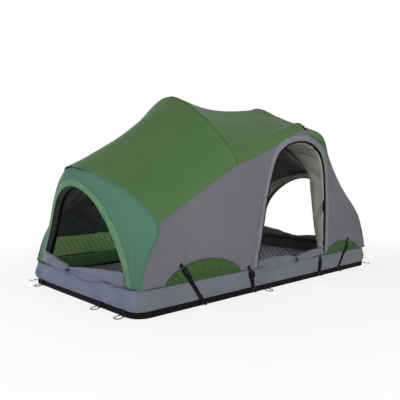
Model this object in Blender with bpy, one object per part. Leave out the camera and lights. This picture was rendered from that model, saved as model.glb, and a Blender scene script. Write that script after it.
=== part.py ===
"""Truck bed tent: padded tub, pole frame, inner tent, fly panels, doors, straps and anchor rings.

X runs along the tent, Y across it, Z up. The side with the door faces -Y.
The origin is on the ground under the middle of the tub. Every size is in metres.
"""
import math

import bmesh
import bpy
from mathutils import Vector

# Tub and skirt
LENGTH = 2.286
WIDTH = 1.220
CORNER_RADIUS = 0.085
FLOOR_THICKNESS = 0.004
BAND_HEIGHT = 0.036
BAND_THICKNESS = 0.006
SKIRT_TOP = 0.146
SKIRT_THICKNESS = 0.004
SKIRT_BULGE = 0.004

# Mattress
MATTRESS_THICKNESS = 0.070
MATTRESS_MARGIN = 0.046
MATTRESS_CROWN = 0.012
MATTRESS_DRAW_IN = 0.008
QUILT_DEPTH = 0.006
QUILT_PITCH = 0.150

# Fit between pieces that touch, and the play of pieces that move
SEAT = 0.0003
PLAY = 0.0010

# Roof and walls of the fly
PEAK_HEIGHT = 1.265
PEAK_X = 0.445
SADDLE_SAG = 0.050
BAY_SAG = 0.036
END_APEX_HEIGHT = 0.785
END_OVERHANG = 0.037
END_APEX_X = LENGTH / 2 + END_OVERHANG
SHOULDER_HEIGHT = 0.468
SHOULDER_SETBACK = 0.158
SHOULDER_X = LENGTH / 2 - SHOULDER_SETBACK
EAVE_HEIGHT = 0.795
EAVE_NARROW_X = 0.388
EAVE_WIDE_X = 0.505
FOOT_NARROW_X = 0.290
FOOT_WIDE_X = 0.600
HOOD_X = 0.260
HOOD_HEIGHT = 1.052
FLY_THICKNESS = 0.0030
FLY_MARGIN = 0.004
WALL_Y = WIDTH / 2 - FLY_MARGIN
FLY_FOOT = SKIRT_TOP + SEAT

# Half the seam between panels, as a share of a bay and of a hoop's span
BAY_EDGE = 0.0007
POSITION_EDGE = 0.0025

# Side door and end doors, as openings in the fly
SIDE_DOOR_LEFT_X = -0.222
SIDE_DOOR_RIGHT_X = 0.540
SIDE_DOOR_APEX_X = 0.230
SIDE_DOOR_TOP = 0.966
LEFT_DOOR_HALF_WIDTH = 0.500
LEFT_DOOR_TOP = 0.668
RIGHT_DOOR_HALF_WIDTH = 0.470
RIGHT_DOOR_TOP = 0.716
LEFT_DOOR_SHAPE = [(0.37, 0.91), (0.60, 0.73), (0.75, 0.59), (0.88, 0.43), (0.965, 0.23)]
RIGHT_DOOR_SHAPE = [(0.30, 0.98), (0.50, 0.92), (0.69, 0.80), (0.84, 0.61), (0.955, 0.34)]

# Doors gathered over their sills
DRAPE_DEPTH = 0.0125
DRAPE_HEIGHT = 0.080
DRAPE_CLEARANCE = 0.006

# Crescent vents of the near wall; the far wall has taller ones at the same places, turned half a turn
VENT_LONG_SETBACK = 0.478
VENT_LONG_X = VENT_LONG_SETBACK - LENGTH / 2
VENT_LONG_HALF = 0.290
VENT_LONG_HEIGHT = 0.112
VENT_SHORT_SETBACK = 0.358
VENT_SHORT_X = LENGTH / 2 - VENT_SHORT_SETBACK
VENT_SHORT_HALF = 0.230
VENT_SHORT_HEIGHT = 0.086
VENT_FAR_HEIGHT = 0.150

# Inner tent
INNER_GAP = 0.038
INNER_THICKNESS = 0.0025
INNER_FOOT = 0.012
DOOR_BAY = 1.5

# Poles and their fittings
POLE_DIAMETER = 0.009
POLE_INSET = 0.026
BROW_INSET = 0.013
SOCKET_WALL = 0.0036
SOCKET_HEIGHT = 0.034
SOCKET_FLOOR = 0.005
CLIP_WIDTH = 0.020
CLIP_THICKNESS = 0.0025
CROWN_SEAT = 0.034
BROW_MARGIN = 0.030
HOOP_FOOT_Y = WALL_Y - POLE_INSET
BROW_FOOT_Y = WALL_Y - BROW_INSET - 0.003
END_FOOT_X = LENGTH / 2 - 0.100
END_FOOT_Y = HOOP_FOOT_Y

# Webbing, buckles, hooks and rings
WEB_WIDTH = 0.025
WEB_THICKNESS = 0.0020
BUCKLE_LENGTH = 0.042
BUCKLE_THICKNESS = 0.0060
RING_WIDTH = 0.046
RING_LENGTH = 0.052
RING_WIRE = 0.0045
TAB_LENGTH = 0.034

# Straps of the near side; the far side has the same, turned half a turn
STRAPS = (
    # place, top x, top z, bottom x
    ("1", -0.831, 0.222, -0.690),
    ("2", -0.293, 0.138, -0.263),
    ("3", 0.475, 0.128, 0.453),
    ("4", 0.846, 0.213, 0.708),
)
STRAP_PLANE = WIDTH / 2 + 0.0053
STRAP_LEAN = 0.0022
HOOK_WIDTH = 0.018
HOOK_THICKNESS = 0.0032
HOOK_SHAPE = (
    # outward and upward of the strap's end
    (0.0, 0.0),
    (0.0020, -0.0055),
    (0.0120, -0.0085),
    (0.0190, -0.0050),
    (0.0205, 0.0040),
)

# Anchor rings on their tabs, and the cords at two corners
RING_HEIGHT = 0.0075
RING_OUT = 0.0075
RING_EDGE_NEAR = WIDTH / 2 - 0.110
RING_EDGE_FAR = WIDTH / 2 - 0.140
RING_MIDDLE = 0.265
CORNER_CORD = 0.045
CORNER_CORD_HEIGHT = 0.018

# Zip slider of the side door
SLIDER_X = -0.206
SLIDER_LOW = 0.236
SLIDER_WIDTH = 0.012
SLIDER_BODY = 0.016
SLIDER_PULL = 0.030

# Points from the foot of a section to its top
SECTION_SPANS = 5
UP = Vector((0.0, 0.0, 1.0))


def clear_scene():
    for item in list(bpy.data.objects):
        bpy.data.objects.remove(item, do_unlink=True)


def make_material(name, color, roughness, metallic=0.0):
    material = bpy.data.materials.new(name)
    material.use_nodes = True
    shader = material.node_tree.nodes["Principled BSDF"]
    shader.inputs["Base Color"].default_value = (*color, 1.0)
    shader.inputs["Roughness"].default_value = roughness
    shader.inputs["Metallic"].default_value = metallic
    material.diffuse_color = (*color, 1.0)
    return material


def add_object(name, mesh, material, smooth=True):
    if material:
        mesh.materials.append(material)
    item = bpy.data.objects.new(name, mesh)
    bpy.context.scene.collection.objects.link(item)
    if smooth:
        mesh.shade_smooth()
        mesh.set_sharp_from_angle(angle=math.radians(40))
    return item


def mesh_from(name, vertices, faces):
    mesh = bpy.data.meshes.new(name)
    mesh.from_pydata([tuple(v) for v in vertices], [], faces)
    shape = bmesh.new()
    shape.from_mesh(mesh)
    bmesh.ops.recalc_face_normals(shape, faces=shape.faces)
    shape.to_mesh(mesh)
    shape.free()
    return mesh


def spline_point(points, position):
    """Point of a smooth curve through the given points; position counts spans."""
    last = len(points) - 1
    span = min(int(position), last - 1)
    t = position - span
    p1 = points[span]
    p2 = points[span + 1]
    p0 = points[span - 1] if span > 0 else p1 + (p1 - p2)
    p3 = points[span + 2] if span + 2 <= last else p2 + (p2 - p1)
    return 0.5 * (
        2.0 * p1
        + (p2 - p0) * t
        + (2.0 * p0 - 5.0 * p1 + 4.0 * p2 - p3) * t * t
        + (3.0 * p1 - 3.0 * p2 + p3 - p0) * t ** 3
    )


def smooth_path(points, steps):
    last = len(points) - 1
    return [spline_point(points, last * i / steps) for i in range(steps + 1)]


def half_turn(points):
    """The same points turned half a turn about the vertical axis."""
    return [Vector((-p.x, -p.y, p.z)) for p in points]


def mirror_x(points):
    return [Vector((-p.x, p.y, p.z)) for p in points]


def mirror_y(points):
    return [Vector((p.x, -p.y, p.z)) for p in points]


# Sections of the fly, from the near foot over the ridge to the far foot


def end_half():
    """Near half of the section over the end pole at the +X end."""
    rise = END_APEX_HEIGHT - SHOULDER_HEIGHT
    lean = END_APEX_X - SHOULDER_X
    return [
        Vector((LENGTH / 2 - 0.023, -WALL_Y, FLY_FOOT)),
        Vector((LENGTH / 2 - 0.078, -WALL_Y, (FLY_FOOT + SHOULDER_HEIGHT) / 2)),
        Vector((SHOULDER_X, -WALL_Y + 0.016, SHOULDER_HEIGHT)),
        Vector((SHOULDER_X + 0.30 * lean, -0.420, SHOULDER_HEIGHT + 0.50 * rise)),
        Vector((SHOULDER_X + 0.66 * lean, -0.210, SHOULDER_HEIGHT + 0.84 * rise)),
        Vector((END_APEX_X, 0.0, END_APEX_HEIGHT)),
    ]


def hoop_half(foot_x, eave_x):
    """Near half of the section over a hoop pole whose crown is at +PEAK_X."""
    rise = PEAK_HEIGHT - EAVE_HEIGHT
    return [
        Vector((foot_x, -WALL_Y, FLY_FOOT)),
        Vector(((foot_x + eave_x) / 2, -WALL_Y - 0.006, (FLY_FOOT + EAVE_HEIGHT) / 2)),
        Vector((eave_x, -WALL_Y + 0.006, EAVE_HEIGHT)),
        Vector(((eave_x + PEAK_X) / 2, -0.490, EAVE_HEIGHT + 0.36 * rise)),
        Vector((0.3 * eave_x + 0.7 * PEAK_X, -0.280, EAVE_HEIGHT + 0.73 * rise)),
        Vector((PEAK_X, 0.0, PEAK_HEIGHT)),
    ]


def hood_half():
    """Near half of the right hoop's section, lifted by the brow pole over the side door."""
    rise = PEAK_HEIGHT - HOOD_HEIGHT
    eave_x = 0.515
    return [
        Vector((FOOT_WIDE_X, -WALL_Y, FLY_FOOT)),
        Vector(((FOOT_WIDE_X + eave_x) / 2, -WALL_Y - 0.006, (FLY_FOOT + HOOD_HEIGHT) / 2)),
        Vector((eave_x, -WALL_Y, HOOD_HEIGHT - 0.090)),
        Vector((0.485, -0.450, HOOD_HEIGHT + 0.11 * rise)),
        Vector((0.460, -0.230, HOOD_HEIGHT + 0.60 * rise)),
        Vector((PEAK_X, 0.0, PEAK_HEIGHT)),
    ]


def brow_half():
    """Near half of the section through the tip of the hood."""
    ridge = PEAK_HEIGHT - 0.65 * SADDLE_SAG
    rise = ridge - HOOD_HEIGHT
    return [
        Vector((HOOD_X, -WALL_Y, FLY_FOOT)),
        Vector((HOOD_X, -WALL_Y - 0.010, (FLY_FOOT + HOOD_HEIGHT) / 2)),
        Vector((HOOD_X, -WALL_Y - 0.006, HOOD_HEIGHT)),
        Vector((HOOD_X, -0.440, HOOD_HEIGHT + 0.24 * rise)),
        Vector((HOOD_X, -0.220, HOOD_HEIGHT + 0.60 * rise)),
        Vector((HOOD_X, 0.0, ridge)),
    ]


def whole(near, far):
    """Join a near half to a far half, which is given from foot to ridge too."""
    return near + far[-2::-1]


NARROW = hoop_half(FOOT_NARROW_X, EAVE_NARROW_X)
WIDE = hoop_half(FOOT_WIDE_X, EAVE_WIDE_X)
RIGHT_END = whole(end_half(), mirror_y(end_half()))
LEFT_END = mirror_x(RIGHT_END)
LEFT_HOOP = whole(mirror_x(NARROW), half_turn(WIDE))
RIGHT_HOOP = whole(hood_half(), mirror_y(NARROW))
RIGHT_HOOP_POLE = whole(WIDE, mirror_y(NARROW))
BROW = brow_half()
HOOD_SHARE = (HOOD_X + PEAK_X) / (2 * PEAK_X)


def inward(point):
    """Direction in which cloth thickness and insets are measured: one smooth field."""
    slope = Vector((point.x / 1.7, point.y / 0.38, (point.z - FLY_FOOT) / 1.2))
    return -slope.normalized()


def sagging(first, second, share, sag):
    """Point between two sections, drawn inward as stretched cloth is."""
    point = first.lerp(second, share)
    return point + inward(point) * (sag * 4.0 * share * (1.0 - share))


def sag_at(position, sag):
    """Sag along a section: none at the foot, whole over the roof."""
    height = 1.0 - abs(position - SECTION_SPANS) / SECTION_SPANS
    return sag * min(1.0, 1.6 * height)


def fly_point(bay, position):
    """Point of the fly: bay runs 0 to 3 from left to right, position over the section."""
    point = tent_point(bay, position, RIGHT_HOOP)
    share = bay - 1.0
    if position < SECTION_SPANS and 0.0 < share < 1.0:
        plain = tent_point(1.0 + HOOD_SHARE, position, RIGHT_HOOP)
        lift = spline_point(BROW, position) - plain
        reach = share / HOOD_SHARE if share < HOOD_SHARE else (1.0 - share) / (1.0 - HOOD_SHARE)
        point = point + lift * reach ** 1.35
    return point


def tent_point(bay, position, right_hoop):
    """Point of the cloth stretched over the end poles, the left hoop and a given right hoop."""
    if bay <= 1.0:
        first, second, start, sag = LEFT_END, LEFT_HOOP, 0.0, BAY_SAG
    elif bay >= 2.0:
        first, second, start, sag = right_hoop, RIGHT_END, 2.0, BAY_SAG
    else:
        first, second, start, sag = LEFT_HOOP, right_hoop, 1.0, SADDLE_SAG
    one = spline_point(first, position)
    other = spline_point(second, position)
    return sagging(one, other, bay - start, sag_at(position, sag))


def inner_point(bay, position):
    """Point that the inner tent is measured from: the poles' own surface, with no hood."""
    return tent_point(bay, position, RIGHT_HOOP_POLE)


def end_point(across, position):
    """Point of the left end panel: across runs -1 near to 1 far, position from foot to apex."""
    seam = spline_point(mirror_x(end_half()), position)
    drop = (seam.z - FLY_FOOT) / (END_APEX_HEIGHT - FLY_FOOT)
    face_x = -(LENGTH / 2 - FLY_MARGIN) - (END_APEX_X - LENGTH / 2 + FLY_MARGIN) * drop
    bulge = (face_x - seam.x) * (1.0 - abs(across) ** 3.2)
    return Vector((seam.x + bulge, -seam.y * across, seam.z))


# Solids made from grids and outlines

def shell(name, grid, depth_near, depth_far, material):
    """Closed sheet between two depths under a grid of surface points."""
    rows = len(grid)
    columns = len(grid[0])
    outer = [p + inward(p) * depth_near for row in grid for p in row]
    inner = [p + inward(p) * depth_far for row in grid for p in row]
    count = rows * columns
    faces = []
    for r in range(rows - 1):
        for c in range(columns - 1):
            a = r * columns + c
            b = a + 1
            d = a + columns
            e = d + 1
            if (outer[a] - outer[e]).length < (outer[b] - outer[d]).length:
                halves = ((a, b, e), (a, e, d))
            else:
                halves = ((a, b, d), (b, e, d))
            for i, j, k in halves:
                faces.append((i, j, k))
                faces.append((count + k, count + j, count + i))
    border = [(0, c) for c in range(columns)]
    border += [(r, columns - 1) for r in range(1, rows)]
    border += [(rows - 1, c) for c in range(columns - 2, -1, -1)]
    border += [(r, 0) for r in range(rows - 2, 0, -1)]
    for i, (r, c) in enumerate(border):
        nr, nc = border[(i + 1) % len(border)]
        a = r * columns + c
        b = nr * columns + nc
        faces.append((b, a, count + a, count + b))
    return add_object(name, mesh_from(name, outer + inner, faces), material)


def end_grid(across_steps, position_to, position_step, trim):
    """Rows of the left end panel, at the same places on the seam as the roof and the walls."""
    grid = []
    stops = [position_step * j for j in range(int(position_to / position_step) + 1)] + [position_to]
    for position in stops:
        row = []
        for i in range(across_steps + 1):
            across = (-1.0 + 2.0 * i / across_steps) * (1.0 - trim)
            row.append(end_point(across, position))
        grid.append(row)
    return grid


def prism_y(name, outline, y_from, y_to):
    """Cutter: an outline of (x, z) points run along Y."""
    near = [Vector((x, y_from, z)) for x, z in outline]
    far = [Vector((x, y_to, z)) for x, z in outline]
    return prism(name, near, far)


def prism_x(name, outline, x_from, x_to):
    """Cutter: an outline of (y, z) points run along X."""
    near = [Vector((x_from, y, z)) for y, z in outline]
    far = [Vector((x_to, y, z)) for y, z in outline]
    return prism(name, near, far)


def prism(name, near, far):
    count = len(near)
    faces = [tuple(range(count)), tuple(range(2 * count - 1, count - 1, -1))]
    for i in range(count):
        j = (i + 1) % count
        faces.append((i, j, count + j, count + i))
    item = bpy.data.objects.new(name, mesh_from(name, near + far, faces))
    bpy.context.scene.collection.objects.link(item)
    item.hide_render = True
    item.display_type = "WIRE"
    return item


def cut(item, cutter, operation="DIFFERENCE", solver="EXACT"):
    modifier = item.modifiers.new(cutter.name, "BOOLEAN")
    modifier.operation = operation
    modifier.solver = solver
    modifier.object = cutter
    return item


def sweep(name, path, profile, material, up=UP):
    """Closed solid: a profile of (side, up) points, or one for each point, along a path."""
    rings = []
    varied = isinstance(profile[0][0], tuple)
    for i, point in enumerate(path):
        ahead = path[min(i + 1, len(path) - 1)]
        behind = path[max(i - 1, 0)]
        along = (ahead - behind).normalized()
        side = along.cross(up).normalized()
        lift = side.cross(along).normalized()
        section = profile[i] if varied else profile
        rings.append([point + side * a + lift * b for a, b in section])
    count = len(rings[0])
    vertices = [p for ring in rings for p in ring]
    faces = []
    for r in range(len(rings) - 1):
        for i in range(count):
            j = (i + 1) % count
            faces.append((r * count + i, r * count + j, (r + 1) * count + j, (r + 1) * count + i))
    faces.append(tuple(range(count - 1, -1, -1)))
    last = (len(rings) - 1) * count
    faces.append(tuple(range(last, last + count)))
    return add_object(name, mesh_from(name, vertices, faces), material)


def pole(name, path, diameter, material, sides=8):
    """Round tube with closed ends along a path, as a bevelled curve."""
    data = bpy.data.curves.new(name, "CURVE")
    data.dimensions = "3D"
    data.resolution_u = 1
    data.render_resolution_u = 1
    data.bevel_depth = diameter / 2
    data.bevel_resolution = sides // 4
    data.use_fill_caps = True
    spline = data.splines.new("POLY")
    spline.points.add(len(path) - 1)
    for target, point in zip(spline.points, path):
        target.co = (*point, 1.0)
    data.materials.append(material)
    item = bpy.data.objects.new(name, data)
    bpy.context.scene.collection.objects.link(item)
    return item


def ring_tube(name, path, wire, material, sides=6):
    """Closed ring of round wire along a flat closed path."""
    normal = (path[1] - path[0]).cross(path[len(path) // 3] - path[0]).normalized()
    count = len(path)
    vertices = []
    faces = []
    for i, point in enumerate(path):
        along = (path[(i + 1) % count] - path[i - 1]).normalized()
        side = along.cross(normal)
        for k in range(sides):
            angle = 2 * math.pi * k / sides
            vertices.append(point + (side * math.cos(angle) + normal * math.sin(angle)) * wire / 2)
    for i in range(count):
        for k in range(sides):
            a = i * sides + k
            b = i * sides + (k + 1) % sides
            c = ((i + 1) % count) * sides + (k + 1) % sides
            d = ((i + 1) % count) * sides + k
            faces.append((a, b, c, d))
    return add_object(name, mesh_from(name, vertices, faces), material)


def moulded_on(carrier, name, items):
    """Make small pieces one with the piece that carries them."""
    shape = bmesh.new()
    for item in items:
        shape.from_mesh(item.data)
    mesh = bpy.data.meshes.new(name)
    shape.to_mesh(mesh)
    shape.free()
    for item in items:
        bpy.data.objects.remove(item, do_unlink=True)
    group = bpy.data.objects.new(name, mesh)
    bpy.context.scene.collection.objects.link(group)
    group.hide_render = True
    group.display_type = "WIRE"
    cut(carrier, group, "UNION")


# Outlines

def rounded_outline(inset, corner_steps=5):
    """Plan of the tub, drawn in by an inset, anticlockwise."""
    radius = CORNER_RADIUS - inset
    points = []
    for sign_x, sign_y, start in ((1, 1, 0), (-1, 1, 90), (-1, -1, 180), (1, -1, 270)):
        center_x = sign_x * (LENGTH / 2 - CORNER_RADIUS)
        center_y = sign_y * (WIDTH / 2 - CORNER_RADIUS)
        for i in range(corner_steps + 1):
            angle = math.radians(start + 90 * i / corner_steps)
            points.append((center_x + radius * math.cos(angle), center_y + radius * math.sin(angle)))
    return points


def stacked(name, loops, material, closed_profile):
    """Solid from plan loops (inset, height); a closed profile makes a ring."""
    rings = [[Vector((x, y, z)) for x, y in rounded_outline(inset)] for inset, z in loops]
    count = len(rings[0])
    vertices = [p for ring in rings for p in ring]
    faces = []
    total = len(rings)
    for r in range(total if closed_profile else total - 1):
        n = (r + 1) % total
        for i in range(count):
            j = (i + 1) % count
            faces.append((r * count + i, r * count + j, n * count + j, n * count + i))
    if not closed_profile:
        faces.append(tuple(range(count)))
        faces.append(tuple(range((total - 1) * count, total * count)))
    return add_object(name, mesh_from(name, vertices, faces), material)


def arch(knots, steps):
    curve = smooth_path([Vector((a, 0.0, b)) for a, b in knots], steps)
    return [(p.x, p.z) for p in curve]


def side_door_outline(bottom, grow=0.0):
    """Arched doorway of the near wall as (x, z) points, leaning left as the fly does."""
    left = SIDE_DOOR_LEFT_X - grow
    right = SIDE_DOOR_RIGHT_X + grow
    top = SIDE_DOOR_TOP + grow
    left_span = SIDE_DOOR_APEX_X - left
    right_span = right - SIDE_DOOR_APEX_X
    knots = [
        (left, bottom),
        (left + 0.08 * left_span, 0.33 * top),
        (left + 0.24 * left_span, 0.64 * top),
        (left + 0.42 * left_span, 0.86 * top),
        (left + 0.68 * left_span, 0.965 * top),
        (SIDE_DOOR_APEX_X, top),
        (right - 0.52 * right_span, 0.975 * top),
        (right - 0.21 * right_span, 0.89 * top),
        (right - 0.03 * right_span, 0.66 * top),
        (right, 0.33 * top),
        (right, bottom),
    ]
    return arch(knots, 30)


def end_door_outline(half, top, shape, bottom, grow=0.0):
    """Arched doorway of an end as (y, z) points; shape lists (height share, width share)."""
    side = [((half + grow) * width, (top + grow) * height) for height, width in shape]
    knots = [(half + grow, bottom)] + side + [(0.0, top + grow)]
    knots += [(-y, z) for y, z in reversed(side)] + [(-half - grow, bottom)]
    return arch(knots, 28)


def crescent(center, half, height, bottom, shrink=0.0):
    """Low arched vent as (x, z) points over a straight lower edge."""
    points = [(center + half - shrink, bottom), (center - half + shrink, bottom)]
    steps = 12
    for i in range(1, steps):
        t = -1.0 + 2.0 * i / steps
        rise = (height - shrink) * (1.0 - t * t) ** 0.62
        points.append((center + (half - shrink) * t, FLY_FOOT + rise))
    return points


def near_wall(x, z):
    """Point of the fly's near wall at a given place along it and height."""
    bay = 1.0 + min(1.9, max(-0.9, (x + 0.35) / 0.90))
    position = 2.0 * (z - FLY_FOOT) / 0.75
    step = 0.001
    for _ in range(12):
        point = fly_point(bay, position)
        by_bay = (fly_point(bay + step, position) - point) / step
        by_position = (fly_point(bay, position + step) - point) / step
        det = by_bay.x * by_position.z - by_bay.z * by_position.x
        gap_x = x - point.x
        gap_z = z - point.z
        bay += max(-0.2, min(0.2, (gap_x * by_position.z - gap_z * by_position.x) / det))
        position += max(-0.3, min(0.3, (by_bay.x * gap_z - by_bay.z * gap_x) / det))
        bay = max(0.01, min(2.99, bay))
        position = max(0.0, min(3.0, position))
    return fly_point(bay, position)


# Base

def make_base(colors):
    tub_loops = [
        (0.0, 0.0),
        (0.0, BAND_HEIGHT),
        (BAND_THICKNESS, BAND_HEIGHT),
        (BAND_THICKNESS, FLOOR_THICKNESS),
    ]
    stacked("base_tub", tub_loops, colors["black"], False)
    foot = BAND_HEIGHT + SEAT
    top = SKIRT_TOP
    rise = top - foot
    skirt_loops = [
        (0.001, foot),
        (0.001 - SKIRT_BULGE, foot + 0.25 * rise),
        (0.001 - 0.6 * SKIRT_BULGE, foot + 0.60 * rise),
        (FLY_MARGIN, top),
        (FLY_MARGIN + SKIRT_THICKNESS, top),
        (SKIRT_THICKNESS + 0.001, foot + 0.5 * rise),
        (SKIRT_THICKNESS + 0.001, foot),
    ]
    stacked("skirt", skirt_loops, colors["skirt"], True)


def make_mattress(colors):
    """Crowned pad with drawn-in sides and diamond tufts."""
    half_x = LENGTH / 2 - MATTRESS_MARGIN
    half_y = WIDTH / 2 - MATTRESS_MARGIN
    bottom = FLOOR_THICKNESS + SEAT
    columns = 2 * round(half_x / QUILT_PITCH) * 2
    rows = 2 * round(half_y / QUILT_PITCH) * 2
    corner = 0.030
    vertices = []
    for i in range(columns + 1):
        for j in range(rows + 1):
            u = -1.0 + 2.0 * i / columns
            v = -1.0 + 2.0 * j / rows
            crown = MATTRESS_CROWN * (1.0 - u ** 6) * (1.0 - v ** 6)
            tuft = QUILT_DEPTH if (i + j) % 2 and 0 < i < columns and 0 < j < rows else 0.0
            round_off = 1.0 - corner * abs(u) ** 8 * abs(v) ** 8
            z = bottom + MATTRESS_THICKNESS - MATTRESS_CROWN + crown - tuft
            vertices.append(Vector((half_x * u * round_off, half_y * v * round_off, z)))
    faces = []
    for i in range(columns):
        for j in range(rows):
            a = i * (rows + 1) + j
            faces.append((a, a + rows + 1, a + rows + 2, a + 1))
    border = [i * (rows + 1) for i in range(columns + 1)]
    border += [columns * (rows + 1) + j for j in range(1, rows + 1)]
    border += [i * (rows + 1) + rows for i in range(columns - 1, -1, -1)]
    border += [j for j in range(rows - 1, 0, -1)]
    edge_top = [vertices[k] for k in border]
    levels = ((0.5, MATTRESS_DRAW_IN), (0.0, 0.0))
    previous = border
    for share, draw in levels:
        ring = []
        for p in edge_top:
            scale_x = 1.0 - draw / half_x
            scale_y = 1.0 - draw / half_y
            z = bottom + (p.z - bottom) * share
            ring.append(len(vertices))
            vertices.append(Vector((p.x * scale_x, p.y * scale_y, z)))
        for k in range(len(ring)):
            n = (k + 1) % len(ring)
            faces.append((previous[k], previous[n], ring[n], ring[k]))
        previous = ring
    faces.append(tuple(previous))
    add_object("mattress", mesh_from("mattress", vertices, faces), colors["mattress"])


# Fly


def bay_stops(bay_from, bay_to, steps_by_bay):
    """Grid stops from one bay to another, with one on each pole line between them."""
    creases = [0.0, 1.0, 1.0 + HOOD_SHARE, 2.0, 3.0]
    inside = [c for c in creases if bay_from + 0.01 < c < bay_to - 0.01]
    marks = [bay_from] + inside + [bay_to]
    stops = [bay_from]
    for first, second in zip(marks, marks[1:]):
        steps = max(2, round((second - first) * steps_by_bay))
        stops += [first + (second - first) * (i + 1) / steps for i in range(steps)]
    return stops


def panel_grid(bay_from, bay_to, steps_by_bay, position_from, position_to, positions, surface=fly_point):
    grid = []
    for bay in bay_stops(bay_from, bay_to, steps_by_bay):
        row = []
        for j in range(positions + 1):
            position = position_from + (position_to - position_from) * j / positions
            row.append(surface(bay, position))
        grid.append(row)
    return grid


def make_roof(colors):
    near = 2.0 + POSITION_EDGE
    far = 8.0 - POSITION_EDGE
    spans = (
        ("fly_roof_left", BAY_EDGE, 1.0 - BAY_EDGE),
        ("fly_roof_middle", 1.0 + BAY_EDGE, 2.0 - BAY_EDGE),
        ("fly_roof_right", 2.0 + BAY_EDGE, 3.0 - BAY_EDGE),
    )
    for name, bay_from, bay_to in spans:
        grid = panel_grid(bay_from, bay_to, 7, near, far, 18)
        shell(name, grid, 0.0, FLY_THICKNESS, colors["roof"])


def make_side_walls(colors):
    below = FLY_FOOT - 0.1
    door = prism_y("side_door_cutter", side_door_outline(below), -WIDTH, -0.35)
    vents = (
        ("left", VENT_LONG_X, VENT_LONG_HALF, VENT_LONG_HEIGHT),
        ("right", VENT_SHORT_X, VENT_SHORT_HALF, VENT_SHORT_HEIGHT),
    )
    for side, turn in (("near", 1), ("far", -1)):
        first, last = (0.0, 2.0 - POSITION_EDGE) if turn > 0 else (10.0, 8.0 + POSITION_EDGE)
        grid = panel_grid(BAY_EDGE, 3.0 - BAY_EDGE, 7, first, last, 6)
        wall = shell("fly_side_" + side, grid, 0.0, FLY_THICKNESS, colors["side"])
        if turn > 0:
            cut(wall, door)
        for place, center, half, height in vents:
            height = height if turn > 0 else VENT_FAR_HEIGHT
            outline = crescent(center, half, height, below)
            outline = [(x * turn, z) for x, z in outline]
            reach = (-WIDTH * turn, -0.35 * turn)
            cut(wall, prism_y("vent_cutter_" + side + place, outline, *reach))
            filling = crescent(center, half, height, below, 0.0006)
            filling = [(x * turn, z) for x, z in filling]
            piece = prism_y("vent_shape_" + side + place, filling, *reach)
            low, high = center - half - 0.03, center + half + 0.03
            vent_grid = vent_cloth(low, high, turn)
            vent = shell("vent_" + side + "_" + place, vent_grid, 0.0, FLY_THICKNESS, colors["vent"])
            cut(vent, piece, "INTERSECT")


def vent_cloth(low, high, turn):
    """Piece of the wall between two places, taller than any vent; turned for the far wall."""
    steps = 10
    grid = []
    for i in range(steps + 1):
        x = low + (high - low) * i / steps
        row = []
        for z in (FLY_FOOT, FLY_FOOT + VENT_FAR_HEIGHT / 2, FLY_FOOT + 1.15 * VENT_FAR_HEIGHT):
            point = near_wall(x, z)
            row.append(Vector((point.x * turn, point.y * turn, point.z)))
        grid.append(row)
    return grid


def make_ends(colors):
    below = FLY_FOOT - 0.1
    for side, turn in (("left", 1), ("right", -1)):
        grid = end_grid(12, 4.93, 1.0 / 3.0, 0.0008)
        grid = [[Vector((p.x * turn, p.y * turn, p.z)) for p in row] for row in grid]
        panel = shell("fly_end_" + side, grid, 0.0, FLY_THICKNESS, colors["end"])
        cut(panel, end_door_cutter(side, below, 0.0), solver="MANIFOLD")


def end_door_cutter(side, below, grow):
    if side == "left":
        outline = end_door_outline(LEFT_DOOR_HALF_WIDTH, LEFT_DOOR_TOP, LEFT_DOOR_SHAPE, below, grow)
        return prism_x("end_door_cutter_left", outline, -1.5, -0.9)
    outline = end_door_outline(RIGHT_DOOR_HALF_WIDTH, RIGHT_DOOR_TOP, RIGHT_DOOR_SHAPE, below, grow)
    return prism_x("end_door_cutter_right", outline, 0.9, 1.5)


# Inner tent; its near wall is two pieces, one each side of the doorway

def make_inner_tent(colors):
    """Inner walls and ceiling, hung inside the poles; each wall has the doorway of the fly."""
    outer = INNER_GAP
    inner = INNER_GAP + INNER_THICKNESS
    below = FLY_FOOT - 0.2
    near = 2.0 + POSITION_EDGE
    far = 8.0 - POSITION_EDGE
    door = prism_y("inner_side_door_cutter", side_door_outline(below), -WIDTH, -0.40)
    grid = panel_grid(BAY_EDGE, 3.0 - BAY_EDGE, 4, near, far, 12, inner_point)
    ceiling = shell("inner_ceiling", grid, outer, inner, colors["inner_roof"])
    cut(ceiling, door)
    walls = (
        ("near_left", BAY_EDGE, DOOR_BAY, 0.0, 2.0 - POSITION_EDGE),
        ("near_right", DOOR_BAY, 3.0 - BAY_EDGE, 0.0, 2.0 - POSITION_EDGE),
        ("far", BAY_EDGE, 3.0 - BAY_EDGE, 10.0, 8.0 + POSITION_EDGE),
    )
    for side, bay_from, bay_to, first, last in walls:
        grid = panel_grid(bay_from, bay_to, 4, first, last, 4, inner_point)
        grid = with_hem(grid)
        wall = shell("inner_wall_" + side, grid, outer, inner, colors["inner"])
        if side != "far":
            cut(wall, door)
    for side, turn in (("left", 1), ("right", -1)):
        grid = end_grid(10, 4.85, 0.5, 0.0012)
        grid = [[Vector((p.x * turn, p.y * turn, p.z)) for p in row] for row in grid]
        hem = [Vector((p.x, p.y, INNER_FOOT)) for p in grid[0]]
        wall = shell("inner_wall_" + side, [hem] + grid, outer, inner, colors["inner"])
        cut(wall, end_door_cutter(side, below, 0.0), solver="MANIFOLD")


def with_hem(grid):
    """Carry a wall grid straight down from the fly's foot to the floor."""
    return [[Vector((row[0].x, row[0].y, INNER_FOOT))] + row for row in grid]


# Poles

def inset_path(points, inset):
    return [p + inward(p) * inset for p in points]


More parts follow.
